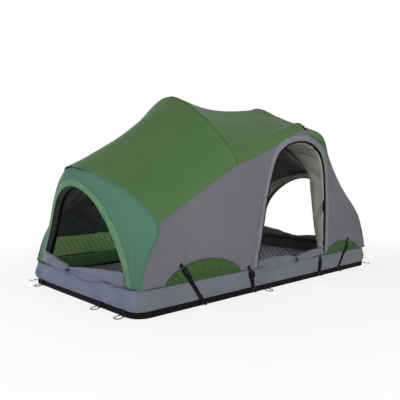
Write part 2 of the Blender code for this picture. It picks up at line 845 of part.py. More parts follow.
def section_pole(name, section, inset, foot_near, foot_far, steps, material):
    """Pole that follows a section of the fly and stands in a socket at each end."""
    path = inset_path(smooth_path(section, steps), inset)
    crown = len(path) // 2
    seat = Vector((0.0, CROWN_SEAT / 2, 0.0))
    path[crown:crown + 1] = [path[crown] - seat, path[crown] + seat]
    start = FLOOR_THICKNESS + SOCKET_FLOOR + SEAT
    rise = SOCKET_HEIGHT + 0.020
    path[0] = Vector((foot_near[0], foot_near[1], rise + 0.070))
    path[-1] = Vector((foot_far[0], foot_far[1], rise + 0.070))
    path = [Vector((foot_near[0], foot_near[1], start)), Vector((foot_near[0], foot_near[1], rise))] + path
    path += [Vector((foot_far[0], foot_far[1], rise)), Vector((foot_far[0], foot_far[1], start))]
    return pole(name, path, POLE_DIAMETER, material)


def brow_points():
    """Arch of the brow pole in the near wall, just outside the doorway, as (x, z) points."""
    return side_door_outline(FLY_FOOT, BROW_MARGIN)


def make_poles(colors):
    metal = colors["pole"]
    left_near = (-FOOT_NARROW_X, -HOOP_FOOT_Y)
    left_far = (-FOOT_WIDE_X, HOOP_FOOT_Y)
    right_near = (FOOT_WIDE_X, -HOOP_FOOT_Y)
    right_far = (FOOT_NARROW_X, HOOP_FOOT_Y)
    section_pole("hoop_pole_left", LEFT_HOOP, POLE_INSET, left_near, left_far, 22, metal)
    section_pole("hoop_pole_right", RIGHT_HOOP_POLE, POLE_INSET, right_near, right_far, 22, metal)
    for side, section, sign in (("left", LEFT_END, -1), ("right", RIGHT_END, 1)):
        near = (sign * END_FOOT_X, -END_FOOT_Y)
        far = (sign * END_FOOT_X, END_FOOT_Y)
        inner = section[:1] + section[2:-2] + section[-1:]
        section_pole("end_pole_" + side, inner, POLE_INSET, near, far, 20, metal)
    arch_points = brow_points()
    path = []
    for x, z in arch_points[1:-1]:
        point = near_wall(x, z)
        path.append(point + inward(point) * BROW_INSET)
    first_x = arch_points[0][0]
    last_x = arch_points[-1][0]
    start = FLOOR_THICKNESS + SOCKET_FLOOR + SEAT
    rise = SOCKET_HEIGHT + 0.020
    foot = [Vector((first_x, -BROW_FOOT_Y, start)), Vector((first_x, -BROW_FOOT_Y, rise))]
    tail = [Vector((last_x, -BROW_FOOT_Y, rise)), Vector((last_x, -BROW_FOOT_Y, start))]
    pole("brow_pole", foot + path + tail, POLE_DIAMETER, metal)
    feet = [left_near, left_far, right_near, right_far]
    feet += [(sx * END_FOOT_X, sy * END_FOOT_Y) for sx in (-1, 1) for sy in (-1, 1)]
    feet += [(first_x, -BROW_FOOT_Y), (last_x, -BROW_FOOT_Y)]
    sockets = [socket(x, y, colors["plastic"]) for x, y in feet]
    moulded_on(bpy.data.objects["base_tub"], "pole_sockets", sockets)
    make_clips(colors)


def turned(name, profile, center, material, sides=10):
    """Solid of revolution about a vertical axis from (radius, height) points, closed at both ends."""
    vertices = []
    faces = []
    for radius, height in profile:
        for k in range(sides):
            angle = 2 * math.pi * k / sides
            offset = Vector((radius * math.cos(angle), radius * math.sin(angle), height))
            vertices.append(center + offset)
    for r in range(len(profile) - 1):
        for k in range(sides):
            n = (k + 1) % sides
            faces.append((r * sides + k, r * sides + n, (r + 1) * sides + n, (r + 1) * sides + k))
    faces.append(tuple(range(sides)))
    last = (len(profile) - 1) * sides
    faces.append(tuple(range(last, last + sides)))
    return add_object(name, mesh_from(name, vertices, faces), material)


def socket(x, y, material):
    sides = 8
    bore = POLE_DIAMETER / 2 / math.cos(math.pi / sides) + SEAT
    outer = bore + SOCKET_WALL
    root = -FLOOR_THICKNESS / 2
    profile = [(outer, root), (outer, SOCKET_HEIGHT), (bore, SOCKET_HEIGHT), (bore, SOCKET_FLOOR)]
    return turned("socket", profile, Vector((x, y, FLOOR_THICKNESS)), material, sides)


def make_clips(colors):
    """Clips that snap on the poles and hold up the inner tent, at both crowns and both ends."""
    places = (
        ("crown_left", LEFT_HOOP),
        ("crown_right", RIGHT_HOOP_POLE),
        ("end_left", LEFT_END),
        ("end_right", RIGHT_END),
    )
    reach = POLE_DIAMETER / 2 + PLAY + CLIP_THICKNESS / 2
    for name, section in places:
        top = section[SECTION_SPANS]
        along = -inward(top)
        middle = top - along * POLE_INSET
        side = Vector((0.0, 1.0, 0.0)).cross(along)
        path = []
        for i in range(9):
            angle = math.radians(30 + 240 * i / 8)
            path.append(middle + side * (reach * math.cos(angle)) + along * (reach * math.sin(angle)))
        path.append(top - along * (INNER_GAP - SEAT))
        profile = web_profile(CLIP_WIDTH, CLIP_THICKNESS)
        sweep("clip_" + name, path, profile, colors["plastic"], Vector((0.0, 1.0, 0.0)))


# Doors gathered over their sills

def drape(name, start, end, out, height, waist, colors, folds=9):
    """Door cloth gathered on its sill: a limp roll with folds, drawn in where it is tied."""
    steps = 26
    sides = 8
    along = end - start
    across = out.normalized()
    rings = []
    for i in range(steps + 1):
        t = i / steps
        tie = math.exp(-((t - waist) / 0.075) ** 2)
        full = (1.0 - 0.55 * tie) * (0.72 + 0.28 * abs(2.0 * t - 1.0) ** 1.5)
        center = start + along * t
        ring = []
        for k in range(sides):
            angle = 2.0 * math.pi * k / sides
            fold = 1.0 + 0.13 * math.sin(folds * math.pi * t + 2.0 * angle) * (1.0 - tie)
            wide = DRAPE_DEPTH * (1.0 - 0.25 * tie) * math.cos(angle) * fold
            tall = height * full * (0.5 + 0.5 * math.sin(angle) * (fold if angle < math.pi else 1.0))
            ring.append(center + across * wide + Vector((0.0, 0.0, max(0.0, tall))))
        rings.append(ring)
    vertices = [p for ring in rings for p in ring]
    faces = []
    for r in range(steps):
        for k in range(sides):
            n = (k + 1) % sides
            faces.append((r * sides + k, r * sides + n, (r + 1) * sides + n, (r + 1) * sides + k))
    faces.append(tuple(range(sides)))
    faces.append(tuple(range(steps * sides, (steps + 1) * sides)))
    return add_object(name, mesh_from(name, vertices, faces), colors["skirt"])


def make_doors(colors):
    z = SKIRT_TOP + SEAT
    line = WIDTH / 2 - FLY_MARGIN - SKIRT_THICKNESS / 2
    start = Vector((SIDE_DOOR_LEFT_X + 0.022, -line, z))
    end = Vector((SIDE_DOOR_RIGHT_X - DRAPE_CLEARANCE, -line, z))
    drape("side_door", start, end, Vector((0.0, -1.0, 0.0)), DRAPE_HEIGHT, 0.52, colors)
    reach = LENGTH / 2 - FLY_MARGIN - SKIRT_THICKNESS / 2
    for side, sign, half in (("left", -1, LEFT_DOOR_HALF_WIDTH), ("right", 1, RIGHT_DOOR_HALF_WIDTH)):
        half_line = 0.93 * half - DRAPE_CLEARANCE
        start = Vector((sign * reach, -half_line, z))
        end = Vector((sign * reach, half_line, z))
        drape("end_door_" + side, start, end, Vector((sign, 0.0, 0.0)), DRAPE_HEIGHT, 0.60, colors)


# Webbing straps with buckles and hooks


def strap_line(top_x, top_z, bottom_x):
    """Middle line of a near strap from its buckle bar down to its hook."""
    top_y = -STRAP_PLANE
    if top_z > SKIRT_TOP + BUCKLE_LENGTH:
        top_y += STRAP_LEAN
    return Vector((top_x, top_y, top_z)), Vector((bottom_x, -STRAP_PLANE, BAND_HEIGHT / 2))


def web_profile(width, thickness):
    half_w = width / 2
    half_t = thickness / 2
    return [(-half_t, -half_w), (half_t, -half_w), (half_t, half_w), (-half_t, half_w)]


def make_straps(colors):
    """Eight straps: each turns on its ladder buckle's bar and ends in a hook."""
    axis = Vector((1.0, 0.0, 0.0))
    for side, turn in (("near", 1), ("far", -1)):
        for place, top_x, top_z, bottom_x in STRAPS:
            top, low = strap_line(top_x, top_z, bottom_x)
            down = (low - top).normalized()
            length = (low - top).length
            marks = [0.0, 0.006, BUCKLE_LENGTH - 0.006, BUCKLE_LENGTH, BUCKLE_LENGTH + 0.001, length]
            path = [top + down * mark for mark in marks]
            path = [Vector((p.x * turn, p.y * turn, p.z)) for p in path]
            wide = WEB_WIDTH + 0.008
            profiles = [
                web_profile(WEB_WIDTH + 0.002, 0.7 * BUCKLE_THICKNESS),
                web_profile(wide, BUCKLE_THICKNESS),
                web_profile(wide, BUCKLE_THICKNESS),
                web_profile(WEB_WIDTH + 0.002, 0.7 * BUCKLE_THICKNESS),
                web_profile(WEB_WIDTH, WEB_THICKNESS),
                web_profile(WEB_WIDTH, WEB_THICKNESS),
            ]
            sweep("strap_" + side + "_" + place, path, profiles, colors["webbing"], axis)
            out = down.cross(axis).normalized()
            points = [low + down * (SEAT - z) + out * y for y, z in HOOK_SHAPE]
            points = [Vector((p.x * turn, p.y * turn, p.z)) for p in smooth_path(points, 8)]
            profile = web_profile(HOOK_WIDTH, HOOK_THICKNESS)
            sweep("hook_" + side + "_" + place, points, profile, colors["plastic"], axis)


# Anchor rings on webbing tabs along the band


def ring_places():
    """Each ring: name, point on the foot of the band, outward direction."""
    places = []
    for side, turn in (("left", 1), ("right", -1)):
        for place, y in (("1", -RING_EDGE_NEAR), ("2", -RING_MIDDLE), ("3", RING_EDGE_FAR)):
            point = Vector((-LENGTH / 2 * turn, y * turn, 0.0))
            places.append((side + "_" + place, point, Vector((-turn, 0.0, 0.0))))
    for side, turn in (("near", 1), ("far", -1)):
        point = Vector((-0.150 * turn, -WIDTH / 2 * turn, 0.0))
        places.append((side, point, Vector((0.0, -turn, 0.0))))
    return places


def make_rings(colors):
    """Rings that turn in folded webbing tabs stitched to the band."""
    tabs = []
    half_thick = WEB_THICKNESS / 2
    web = web_profile(WEB_WIDTH, WEB_THICKNESS)
    loop = RING_WIRE / 2 + PLAY + half_thick
    for place, foot, out in ring_places():
        edge = Vector((-out.y, out.x, 0.0))
        bar = foot + out * RING_OUT + Vector((0.0, 0.0, RING_HEIGHT))
        path = []
        steps = 14
        for i in range(steps):
            angle = 2.0 * math.pi * i / steps
            wide = math.copysign(abs(math.sin(angle)) ** 0.75, math.sin(angle)) * RING_WIDTH / 2
            far = (1.0 - math.cos(angle)) / 2
            flat = min(1.0, far * 1.15)
            drop = (RING_HEIGHT - RING_WIRE / 2 - 0.0002) * flat
            path.append(bar + edge * wide + out * (RING_LENGTH * far) - Vector((0.0, 0.0, drop)))
        start = bar - edge * RING_WIDTH * 0.32
        stop = bar + edge * RING_WIDTH * 0.32
        path = [start.lerp(stop, t) for t in (0.0, 0.5, 1.0)] + path[2:-1]
        ring_tube("ring_" + place, path, RING_WIRE, colors["wire"])
        tabs.append(tab(foot, out, edge, bar, loop, web, colors["webbing"]))
    moulded_on(bpy.data.objects["base_tub"], "ring_tabs", tabs)


def tab(foot, out, edge, bar, loop, web, material):
    """Webbing folded once round a ring's bar, both legs lying against the band."""
    near_leg = WEB_THICKNESS / 2 - 2 * SEAT
    far_leg = near_leg + WEB_THICKNESS + 2 * SEAT
    lift = Vector((0.0, 0.0, 1.0))
    path = [foot + out * near_leg + lift * TAB_LENGTH, foot + out * near_leg + lift * (bar.z + 1.9 * loop)]
    for i in range(9):
        angle = math.radians(165 + 255 * i / 8)
        path.append(bar + out * (loop * math.cos(angle)) + lift * (loop * math.sin(angle)))
    path.append(foot + out * (far_leg + 0.001) + lift * (bar.z + 2.0 * loop))
    path.append(foot + out * far_leg + lift * (TAB_LENGTH - 0.003))
    return sweep("tab", path, web, material, edge)


def make_corner_hooks(colors):
    """Short flat cords with a hook, at the far left and the near right corner."""
    diagonal = math.sqrt(0.5)
    for name, sign_x, sign_y in (("corner_hook_left", -1, 1), ("corner_hook_right", 1, -1)):
        out = Vector((sign_x * diagonal, sign_y * diagonal, 0.0))
        foot = Vector((sign_x * (LENGTH / 2 - CORNER_RADIUS), sign_y * (WIDTH / 2 - CORNER_RADIUS), 0.0))
        foot += out * CORNER_RADIUS
        shape = (
            # outward, height, width, thickness
            (-0.0005, CORNER_CORD_HEIGHT, 0.006, 0.0030),
            (0.0200, CORNER_CORD_HEIGHT - 0.003, 0.006, 0.0030),
            (CORNER_CORD, CORNER_CORD_HEIGHT - 0.008, 0.006, 0.0030),
            (CORNER_CORD + 0.001, CORNER_CORD_HEIGHT - 0.008, 0.011, 0.0036),
            (CORNER_CORD + 0.010, CORNER_CORD_HEIGHT - 0.012, 0.010, 0.0036),
            (CORNER_CORD + 0.017, CORNER_CORD_HEIGHT - 0.009, 0.009, 0.0034),
            (CORNER_CORD + 0.018, CORNER_CORD_HEIGHT - 0.001, 0.008, 0.0030),
        )
        path = [foot + out * reach + UP * height for reach, height, _, _ in shape]
        profiles = [web_profile(width, thick) for _, _, width, thick in shape]
        across = Vector((-out.y, out.x, 0.0))
        sweep(name, path, profiles, colors["webbing"], across)


def make_zip_slider(colors):
    """Slider of the side door's zip with its pull, at the foot of the left jamb."""
    wall = near_wall(SLIDER_X, SLIDER_LOW)
    thick = 0.005
    shape = (
        # below the top, width, thickness
        (0.0, 0.8 * SLIDER_WIDTH, 0.6 * thick),
        (0.003, SLIDER_WIDTH, thick),
        (SLIDER_BODY, 0.8 * SLIDER_WIDTH, thick),
        (SLIDER_BODY + 0.002, 0.35 * SLIDER_WIDTH, 0.0020),
        (SLIDER_BODY + 0.010, 0.60 * SLIDER_WIDTH, 0.0020),
        (SLIDER_BODY + SLIDER_PULL, 0.60 * SLIDER_WIDTH, 0.0020),
    )
    middle = Vector((SLIDER_X, wall.y - thick / 2 - PLAY, SLIDER_LOW + SLIDER_BODY))
    path = [middle - UP * drop for drop, _, _ in shape]
    profiles = [web_profile(width, depth) for _, width, depth in shape]
    sweep("zip_slider", path, profiles, colors["plastic"], Vector((1.0, 0.0, 0.0)))


def main():
    clear_scene()
    colors = {
        "roof": make_material("roof_cloth", (0.085, 0.175, 0.070), 0.75),
        "end": make_material("end_cloth", (0.095, 0.220, 0.130), 0.75),
        "side": make_material("side_cloth", (0.150, 0.150, 0.165), 0.80),
        "skirt": make_material("skirt_cloth", (0.145, 0.155, 0.195), 0.80),
        "vent": make_material("vent_cloth", (0.050, 0.180, 0.050), 0.80),
        "inner": make_material("inner_cloth", (0.220, 0.215, 0.180), 0.85),
        "inner_roof": make_material("inner_roof_cloth", (0.020, 0.022, 0.020), 0.85),
        "mattress": make_material("mattress_cloth", (0.022, 0.023, 0.030), 0.85),
        "black": make_material("band_rubber", (0.012, 0.012, 0.014), 0.60),
        "pole": make_material("pole_metal", (0.060, 0.062, 0.065), 0.35, 0.9),
        "plastic": make_material("black_plastic", (0.014, 0.014, 0.015), 0.45),
        "webbing": make_material("black_webbing", (0.015, 0.015, 0.016), 0.80),
        "wire": make_material("coated_wire", (0.030, 0.030, 0.032), 0.35, 0.8),
    }
    make_base(colors)
    make_mattress(colors)
    make_poles(colors)
    make_inner_tent(colors)
    make_roof(colors)
    make_side_walls(colors)
    make_ends(colors)
    make_doors(colors)
    make_straps(colors)
    make_rings(colors)
    make_corner_hooks(colors)
    make_zip_slider(colors)


main()
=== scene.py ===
"""Truck bed tent, dressed for its picture: cloth, seams, padding, fittings, light and camera."""
import contextlib
import math

import bmesh
import bpy
import numpy as np
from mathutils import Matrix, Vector, noise


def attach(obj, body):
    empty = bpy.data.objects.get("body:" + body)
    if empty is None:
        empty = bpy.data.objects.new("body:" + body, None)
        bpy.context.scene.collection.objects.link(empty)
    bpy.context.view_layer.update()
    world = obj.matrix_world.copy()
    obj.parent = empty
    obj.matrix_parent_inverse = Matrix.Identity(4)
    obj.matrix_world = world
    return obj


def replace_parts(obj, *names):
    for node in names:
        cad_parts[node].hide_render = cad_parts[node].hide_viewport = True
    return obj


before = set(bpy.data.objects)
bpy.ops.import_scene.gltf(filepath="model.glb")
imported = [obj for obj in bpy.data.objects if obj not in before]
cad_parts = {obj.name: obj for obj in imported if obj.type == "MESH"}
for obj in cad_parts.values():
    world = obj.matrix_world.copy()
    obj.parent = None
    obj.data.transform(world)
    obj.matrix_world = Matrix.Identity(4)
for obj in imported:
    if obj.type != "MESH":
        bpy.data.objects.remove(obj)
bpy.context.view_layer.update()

# Sizes of the tent, as its solids have them

LENGTH = 2.286
WIDTH = 1.220
CORNER_RADIUS = 0.085
BAND_HEIGHT = 0.036
SKIRT_FOOT = 0.030
SKIRT_TOP = 0.146
SEAT = 0.0003
PEAK_HEIGHT = 1.265
PEAK_X = 0.445
SADDLE_SAG = 0.050
BAY_SAG = 0.036
END_APEX_HEIGHT = 0.785
END_APEX_X = 1.180
SHOULDER_HEIGHT = 0.468
SHOULDER_X = 0.985
EAVE_HEIGHT = 0.795
EAVE_NARROW_X = 0.388
EAVE_WIDE_X = 0.505
EAVE_HOOD_X = 0.515
FOOT_NARROW_X = 0.290
FOOT_WIDE_X = 0.600
HOOD_X = 0.260
HOOD_HEIGHT = 1.052
FLY_MARGIN = 0.004
WALL_Y = WIDTH / 2 - FLY_MARGIN
FLY_FOOT = SKIRT_TOP + SEAT
SIDE_DOOR_LEFT_X = -0.222
SIDE_DOOR_RIGHT_X = 0.540
SIDE_DOOR_APEX_X = 0.230
SIDE_DOOR_TOP = 0.966
LEFT_DOOR = (0.500, 0.668, [(0.37, 0.91), (0.60, 0.73), (0.75, 0.59), (0.88, 0.43), (0.965, 0.23)])
RIGHT_DOOR = (0.470, 0.716, [(0.30, 0.98), (0.50, 0.92), (0.69, 0.80), (0.84, 0.61), (0.955, 0.34)])
VENTS = {
    # wall and place: middle, half width, height
    "near_left": (-0.665, 0.290, 0.112),
    "near_right": (0.785, 0.230, 0.086),
    "far_left": (0.665, 0.290, 0.150),
    "far_right": (-0.785, 0.230, 0.150),
}
VENT_ARC = 0.62
INNER_GAP = 0.038
INNER_DROP = FLY_FOOT - 0.060
STRAP_PLANE = WIDTH / 2 + 0.0053
STRAPS = (
    # name, x and height of the buckle, x of the foot
    ("1", -0.831, 0.222, -0.690),
    ("2", -0.293, 0.138, -0.263),
    ("3", 0.475, 0.128, 0.453),
    ("4", 0.846, 0.213, 0.708),
)

UP = Vector((0.0, 0.0, 1.0))
ALONG = Vector((1.0, 0.0, 0.0))
ACROSS = Vector((0.0, 1.0, 0.0))


# Camera

EYE = Vector((-2.487, -2.542, 0.725))
YAW = 0.828
PITCH = -0.05
FOCAL_PIXELS = 473.5
PICTURE = 400
SENSOR = 36.0


def linked(name, data):
    item = bpy.data.objects.new(name, data)
    bpy.context.scene.collection.objects.link(item)
    return item


def make_camera():
    data = bpy.data.cameras.new("camera")
    data.sensor_width = SENSOR
    data.lens = FOCAL_PIXELS / PICTURE * SENSOR
    camera = linked("camera", data)
    look = Vector((math.cos(PITCH) * math.cos(YAW), math.cos(PITCH) * math.sin(YAW), math.sin(PITCH)))
    camera.location = EYE
    camera.rotation_euler = look.to_track_quat("-Z", "Y").to_euler()
    bpy.context.scene.camera = camera


make_camera()


# Shader maths

class Signal:
    """A socket or a number that takes part in shader maths."""

    def __init__(self, graph, value):
        self.graph = graph
        self.value = value

    def math(self, operation, *others):
        return self.graph.node("ShaderNodeMath", {"operation": operation}, self, *others)

    def __add__(self, other):
        return self.math("ADD", other)

    def __sub__(self, other):
        return self.math("SUBTRACT", other)

    def __mul__(self, other):
        return self.math("MULTIPLY", other)

    def __pow__(self, other):
        return self.math("POWER", other)

    def __rsub__(self, other):
        return self.graph.node("ShaderNodeMath", {"operation": "SUBTRACT"}, other, self)

    __radd__ = __add__
    __rmul__ = __mul__

    def clamp(self):
        return self.graph.node("ShaderNodeClamp", {}, self)

    def at(self, name):
        """Another output of the same node."""
        return Signal(self.graph, self.value.node.outputs[name])

    def wave(self, pitch):
        """Sine that crosses zero once in each pitch."""
        return (self * (math.pi / pitch)).math("SINE")

    def step(self, low, high):
        """0 below low, 1 above high, smooth between."""
        settings = {"interpolation_type": "SMOOTHSTEP"}
        return self.graph.node("ShaderNodeMapRange", settings, self, low, high)


class Graph:
    """The nodes of one material or of the world."""

    def __init__(self, tree):
        self.tree = tree
        tree.nodes.clear()

    def feed(self, socket, value):
        if isinstance(value, Signal):
            self.tree.links.new(value.value, socket)
        else:
            socket.default_value = value

    def node(self, kind, settings, *values, **named):
        item = self.tree.nodes.new(kind)
        for key, setting in settings.items():
            setattr(item, key, setting)
        for key, value in list(enumerate(values)) + list(named.items()):
            if value is not None:
                self.feed(item.inputs[key] if isinstance(key, int) else item.inputs[key.replace("_", " ")], value)
        shown = [o for o in item.outputs if o.enabled]
        return Signal(self, shown[0]) if shown else None

    def mix(self, share, first, second):
        """Colour between two colours."""
        item = self.tree.nodes.new("ShaderNodeMix")
        item.data_type = "RGBA"
        for socket, value in ((item.inputs[0], share), (item.inputs[6], first), (item.inputs[7], second)):
            self.feed(socket, value)
        return Signal(self, item.outputs[2])

    def parts(self, vector):
        split = self.node("ShaderNodeSeparateXYZ", {}, vector)
        return split, split.at("Y")

    def place(self):
        return self.node("ShaderNodeTexCoord", {}).at("Object")

    def cloth_uv(self):
        return self.node("ShaderNodeUVMap", {"uv_map": "cloth"})

    def noise(self, vector, scale, detail=2.0, roughness=0.5):
        return self.node("ShaderNodeTexNoise", {}, vector, Scale=scale, Detail=detail, Roughness=roughness)

    def bump(self, height, distance, normal=None):
        return self.node("ShaderNodeBump", {}, Strength=1.0, Distance=distance, Height=height, Normal=normal)

    def weave(self, threads, depth, normal=None):
        """Bump of a plain weave: threads per metre, up and down by turns."""
        u, v = self.parts(self.cloth_uv())
        return self.bump(u.wave(1.0 / threads) * v.wave(1.0 / threads), depth, normal)

    def mottle(self, place, *octaves):
        """Share about a half that wanders by each octave: scale, detail, roughness and weight."""
        share = 0.5
        for scale, detail, roughness, weight in octaves:
            share = share + (self.noise(place, scale, detail, roughness) - 0.5) * weight
        return share.clamp()

    def coat(self, shade, roughness, normal, **named):
        return self.node(
            "ShaderNodeBsdfPrincipled", {}, Base_Color=shade, Roughness=roughness, Normal=normal, **named)


def srgb(red, green, blue):
    """Linear colour of a screen colour from 0 to 255."""
    def linear(value):
        share = value / 255.0
        return share / 12.92 if share <= 0.04045 else ((share + 0.055) / 1.055) ** 2.4

    return (linear(red), linear(green), linear(blue), 1.0)


def finish_with(name, build):
    """A material whose surface comes from build(graph)."""
    material = bpy.data.materials.new(name)
    material.use_nodes = True
    graph = Graph(material.node_tree)
    graph.node("ShaderNodeOutputMaterial", {}, build(graph))
    return material


RIPSTOP = 0.007


def shell_cloth(name, color, shadow, see_through, roughness=0.62):
    """Coated shell cloth: fine weave, soft crumples, faint rip-stop lines, some light let through."""
    def build(graph):
        u, v = graph.parts(graph.cloth_uv())
        place = graph.place()
        share = graph.mottle(place, (2.2, 3.0, 0.5, 0.9), (26.0, 4.0, 0.6, 0.35), (420.0, 2.0, 0.5, 0.25))
        shade = graph.mix(share, srgb(*shadow), srgb(*color))
        grid = (u.wave(RIPSTOP).math("ABSOLUTE") ** 40.0).math("MAXIMUM", v.wave(RIPSTOP).math("ABSOLUTE") ** 40.0)
        crumple = graph.bump(graph.noise(place, 38.0, 3.0, 0.55), 0.0011)
        ribbed = graph.bump(grid, 0.0001, graph.weave(900, 0.00012, crumple))
        shader = graph.coat(shade, share * 0.10 + (roughness - 0.05), ribbed,
                            Sheen_Weight=0.04, Sheen_Roughness=0.45, Specular_IOR_Level=0.14)
        glow = graph.node("ShaderNodeBsdfTranslucent", {}, Color=shade)
        return graph.node("ShaderNodeMixShader", {}, see_through, shader, glow)

    return finish_with(name, build)


def plain_cloth(name, color, shadow, threads, depth, roughness=0.85, broad=3.0, sheen=0.2, specular=0.15):
    """Heavier cloth without light through it."""
    def build(graph):
        place = graph.place()
        share = graph.mottle(place, (broad, 3.0, 0.5, 0.8), (60.0, 3.0, 0.6, 0.5), (520.0, 2.0, 0.5, 0.5))
        shade = graph.mix(share, srgb(*shadow), srgb(*color))
        crumple = graph.bump(graph.noise(place, 45.0, 3.0, 0.55), 0.0008)
        woven = graph.weave(threads, depth, crumple)
        return graph.coat(shade, share * 0.12 + (roughness - 0.06), woven,
                          Sheen_Weight=sheen, Specular_IOR_Level=specular)

    return finish_with(name, build)


def solid_finish(name, color, roughness, grain=220.0, depth=0.0002, metallic=0.0, wear=None, specular=0.5):
    """Moulded or metal piece with a fine grain and worn high spots."""
    def build(graph):
        place = graph.place()
        speck = graph.noise(place, grain, 3.0, 0.6)
        rubbed = (graph.noise(place, 14.0, 3.0, 0.6) * 0.6 + speck * 0.4).step(0.52, 0.68)
        shade = graph.mix(rubbed * 0.5, srgb(*color), srgb(*(wear or color)))
        return graph.coat(shade, speck * 0.16 + (roughness - 0.08), graph.bump(speck, depth),
                          Metallic=metallic, Specular_IOR_Level=specular)

    return finish_with(name, build)


def webbing_finish(name, color, shadow):
    """Narrow webbing: ribs across, a herringbone of light and dark threads."""
    def build(graph):
        u, v = graph.parts(graph.cloth_uv())
        rib = v.wave(0.0016)
        lift = rib * 0.6 + (u * (math.pi / 0.0012) + rib * 0.8).math("SINE") * 0.4
        speck = graph.noise(graph.place(), 300.0, 2.0)
        shade = graph.mix((lift * 0.25 + speck * 0.6).clamp(), srgb(*shadow), srgb(*color))
        return graph.coat(shade, speck * 0.1 + 0.62, graph.bump(lift, 0.00025), Specular_IOR_Level=0.05)

    return finish_with(name, build)


def quilt_finish(name, color, shadow, thread, pitch):
    """Dark quilted cover: weave, and pale stitches along both diagonals."""
    def build(graph):
        u, v = graph.parts(graph.cloth_uv())
        place = graph.place()
        speck = graph.noise(place, 340.0, 3.0, 0.6)
        broad = graph.noise(place, 5.0, 3.0)
        seams = []
        for turn in (1.0, -1.0):
            line = (u + v * turn).wave(pitch).math("ABSOLUTE")
            dash = (u - v * turn).wave(0.0045).step(-0.2, 0.1)
            seams.append((1.0 - line.step(0.05, 0.20)) * dash)
        shade = graph.mix((speck * 0.7 + (broad - 0.5) * 0.6).clamp(), srgb(*shadow), srgb(*color))
        shade = graph.mix(seams[0].math("MAXIMUM", seams[1]) * 0.9, shade, srgb(*thread))
        return graph.coat(shade, speck * 0.1 + 0.74, graph.weave(500, 0.0003),
                          Sheen_Weight=0.1, Specular_IOR_Level=0.15)

    return finish_with(name, build)


ROOF_GREEN = shell_cloth("roof_green", (77, 108, 64), (62, 92, 52), 0.10)
# End panels: the fly's green tinted teal, which is painted bluish light falling on the ends.
END_GREEN_PAINTED_BLUE_LIGHT = shell_cloth("end_green_painted_blue_light", (79, 117, 98), (63, 100, 80), 0.10)
HEM_GREEN = shell_cloth("hem_green", (96, 136, 102), (80, 118, 84), 0.08)
SIDE_GREY = shell_cloth("side_grey", (103, 103, 109), (87, 87, 93), 0.05, 0.66)
HEM_GREY = shell_cloth("hem_grey", (120, 120, 126), (102, 102, 108), 0.05, 0.66)
VENT_GREEN = shell_cloth("vent_green", (82, 122, 68), (40, 70, 34), 0.40, 0.7)
# Net window: its green made pale to paint the daylight shining through the far vent behind it.
WINDOW_GREEN_PAINTED_GLOW = shell_cloth("window_green_painted_glow", (168, 206, 138), (104, 140, 80), 0.30, 0.7)
SKIRT_GREY = plain_cloth("skirt_grey", (108, 110, 117), (84, 86, 93), 420, 0.0003)
# Skirt at the ends: its grey tinted blue, which is painted bluish light falling on the ends.
SKIRT_GREY_PAINTED_BLUE_LIGHT = plain_cloth("skirt_grey_painted_blue_light", (108, 114, 136), (84, 90, 112), 420, 0.0003)
DOOR_CLOTH = plain_cloth("door_cloth", (106, 108, 116), (76, 78, 86), 800, 0.00015, 0.7)
# Door cloth tinted blue: painted bluish light for the left door, which faces the ends' light.
DOOR_CLOTH_PAINTED_BLUE_LIGHT = plain_cloth("door_cloth_painted_blue_light", (106, 112, 132), (78, 84, 104), 800, 0.00015, 0.7)
INNER_TAUPE = plain_cloth("inner_taupe", (154, 154, 143), (108, 108, 98), 1100, 0.0001, 0.7)
# Inner tent cloth painted in shade: a dark copy of the taupe for the parts that lie in shadow inside the tent.
INNER_CLOTH_PAINTED_SHADE = plain_cloth("inner_cloth_painted_shade", (56, 60, 60), (36, 40, 40), 1100, 0.0001, 0.75)
# Dark piping: real piping whose grey is darkened to paint the shadow along the edges it runs on.
PIPING_PAINTED_SHADOW = plain_cloth("piping_painted_shadow", (62, 64, 72), (42, 44, 50), 420, 0.0002)
NET_GREEN = plain_cloth("net_green", (72, 122, 80), (26, 52, 34), 900, 0.0003, 0.8)
BAND_BLACK = plain_cloth("band_black", (22, 22, 24), (11, 11, 13), 600, 0.0003, 0.6, 6.0, 0.0, 0.03)
QUILT = quilt_finish("quilt", (78, 80, 87), (44, 46, 52), (204, 206, 212), 0.054)
WEBBING = webbing_finish("webbing_black", (28, 29, 31), (10, 10, 12))
TUB_COAT = solid_finish("tub_coat", (36, 37, 40), 0.55, 170.0, 0.0003, 0.0, (56, 57, 60), 0.4)
PLASTIC = solid_finish("moulded_black", (24, 24, 27), 0.42, 260.0, 0.0002, 0.0, (42, 42, 46), 0.16)
POLE_METAL = solid_finish("pole_metal", (34, 35, 38), 0.42, 400.0, 0.00005, 0.3, (60, 62, 66), 0.25)
TIP_METAL = solid_finish("tip_metal", (190, 192, 196), 0.28, 300.0, 0.00005, 1.0, (120, 122, 126))
RING_STEEL = solid_finish("ring_steel", (30, 31, 33), 0.45, 260.0, 0.0001, 0.2, (56, 58, 62), 0.2)
ZIP_BLACK = solid_finish("zip_black", (17, 18, 20), 0.55, specular=0.05)
CORD_BLACK = solid_finish("cord_black", (20, 20, 22), 0.6, 500.0, 0.0004, specular=0.1)
THREAD_GREEN = solid_finish("thread_green", (74, 108, 66), 0.7, specular=0.2)
THREAD_GREY = solid_finish("thread_grey", (88, 88, 94), 0.7, specular=0.2)


# Surface of the fly, as the solids have it

def cubic(p0, p1, p2, p3, t):
    """Point between p1 and p2 on a smooth curve through all four."""
    return 0.5 * (
        2.0 * p1
        + (p2 - p0) * t
        + (2.0 * p0 - 5.0 * p1 + 4.0 * p2 - p3) * t * t
        + (3.0 * p1 - 3.0 * p2 + p3 - p0) * t ** 3
    )


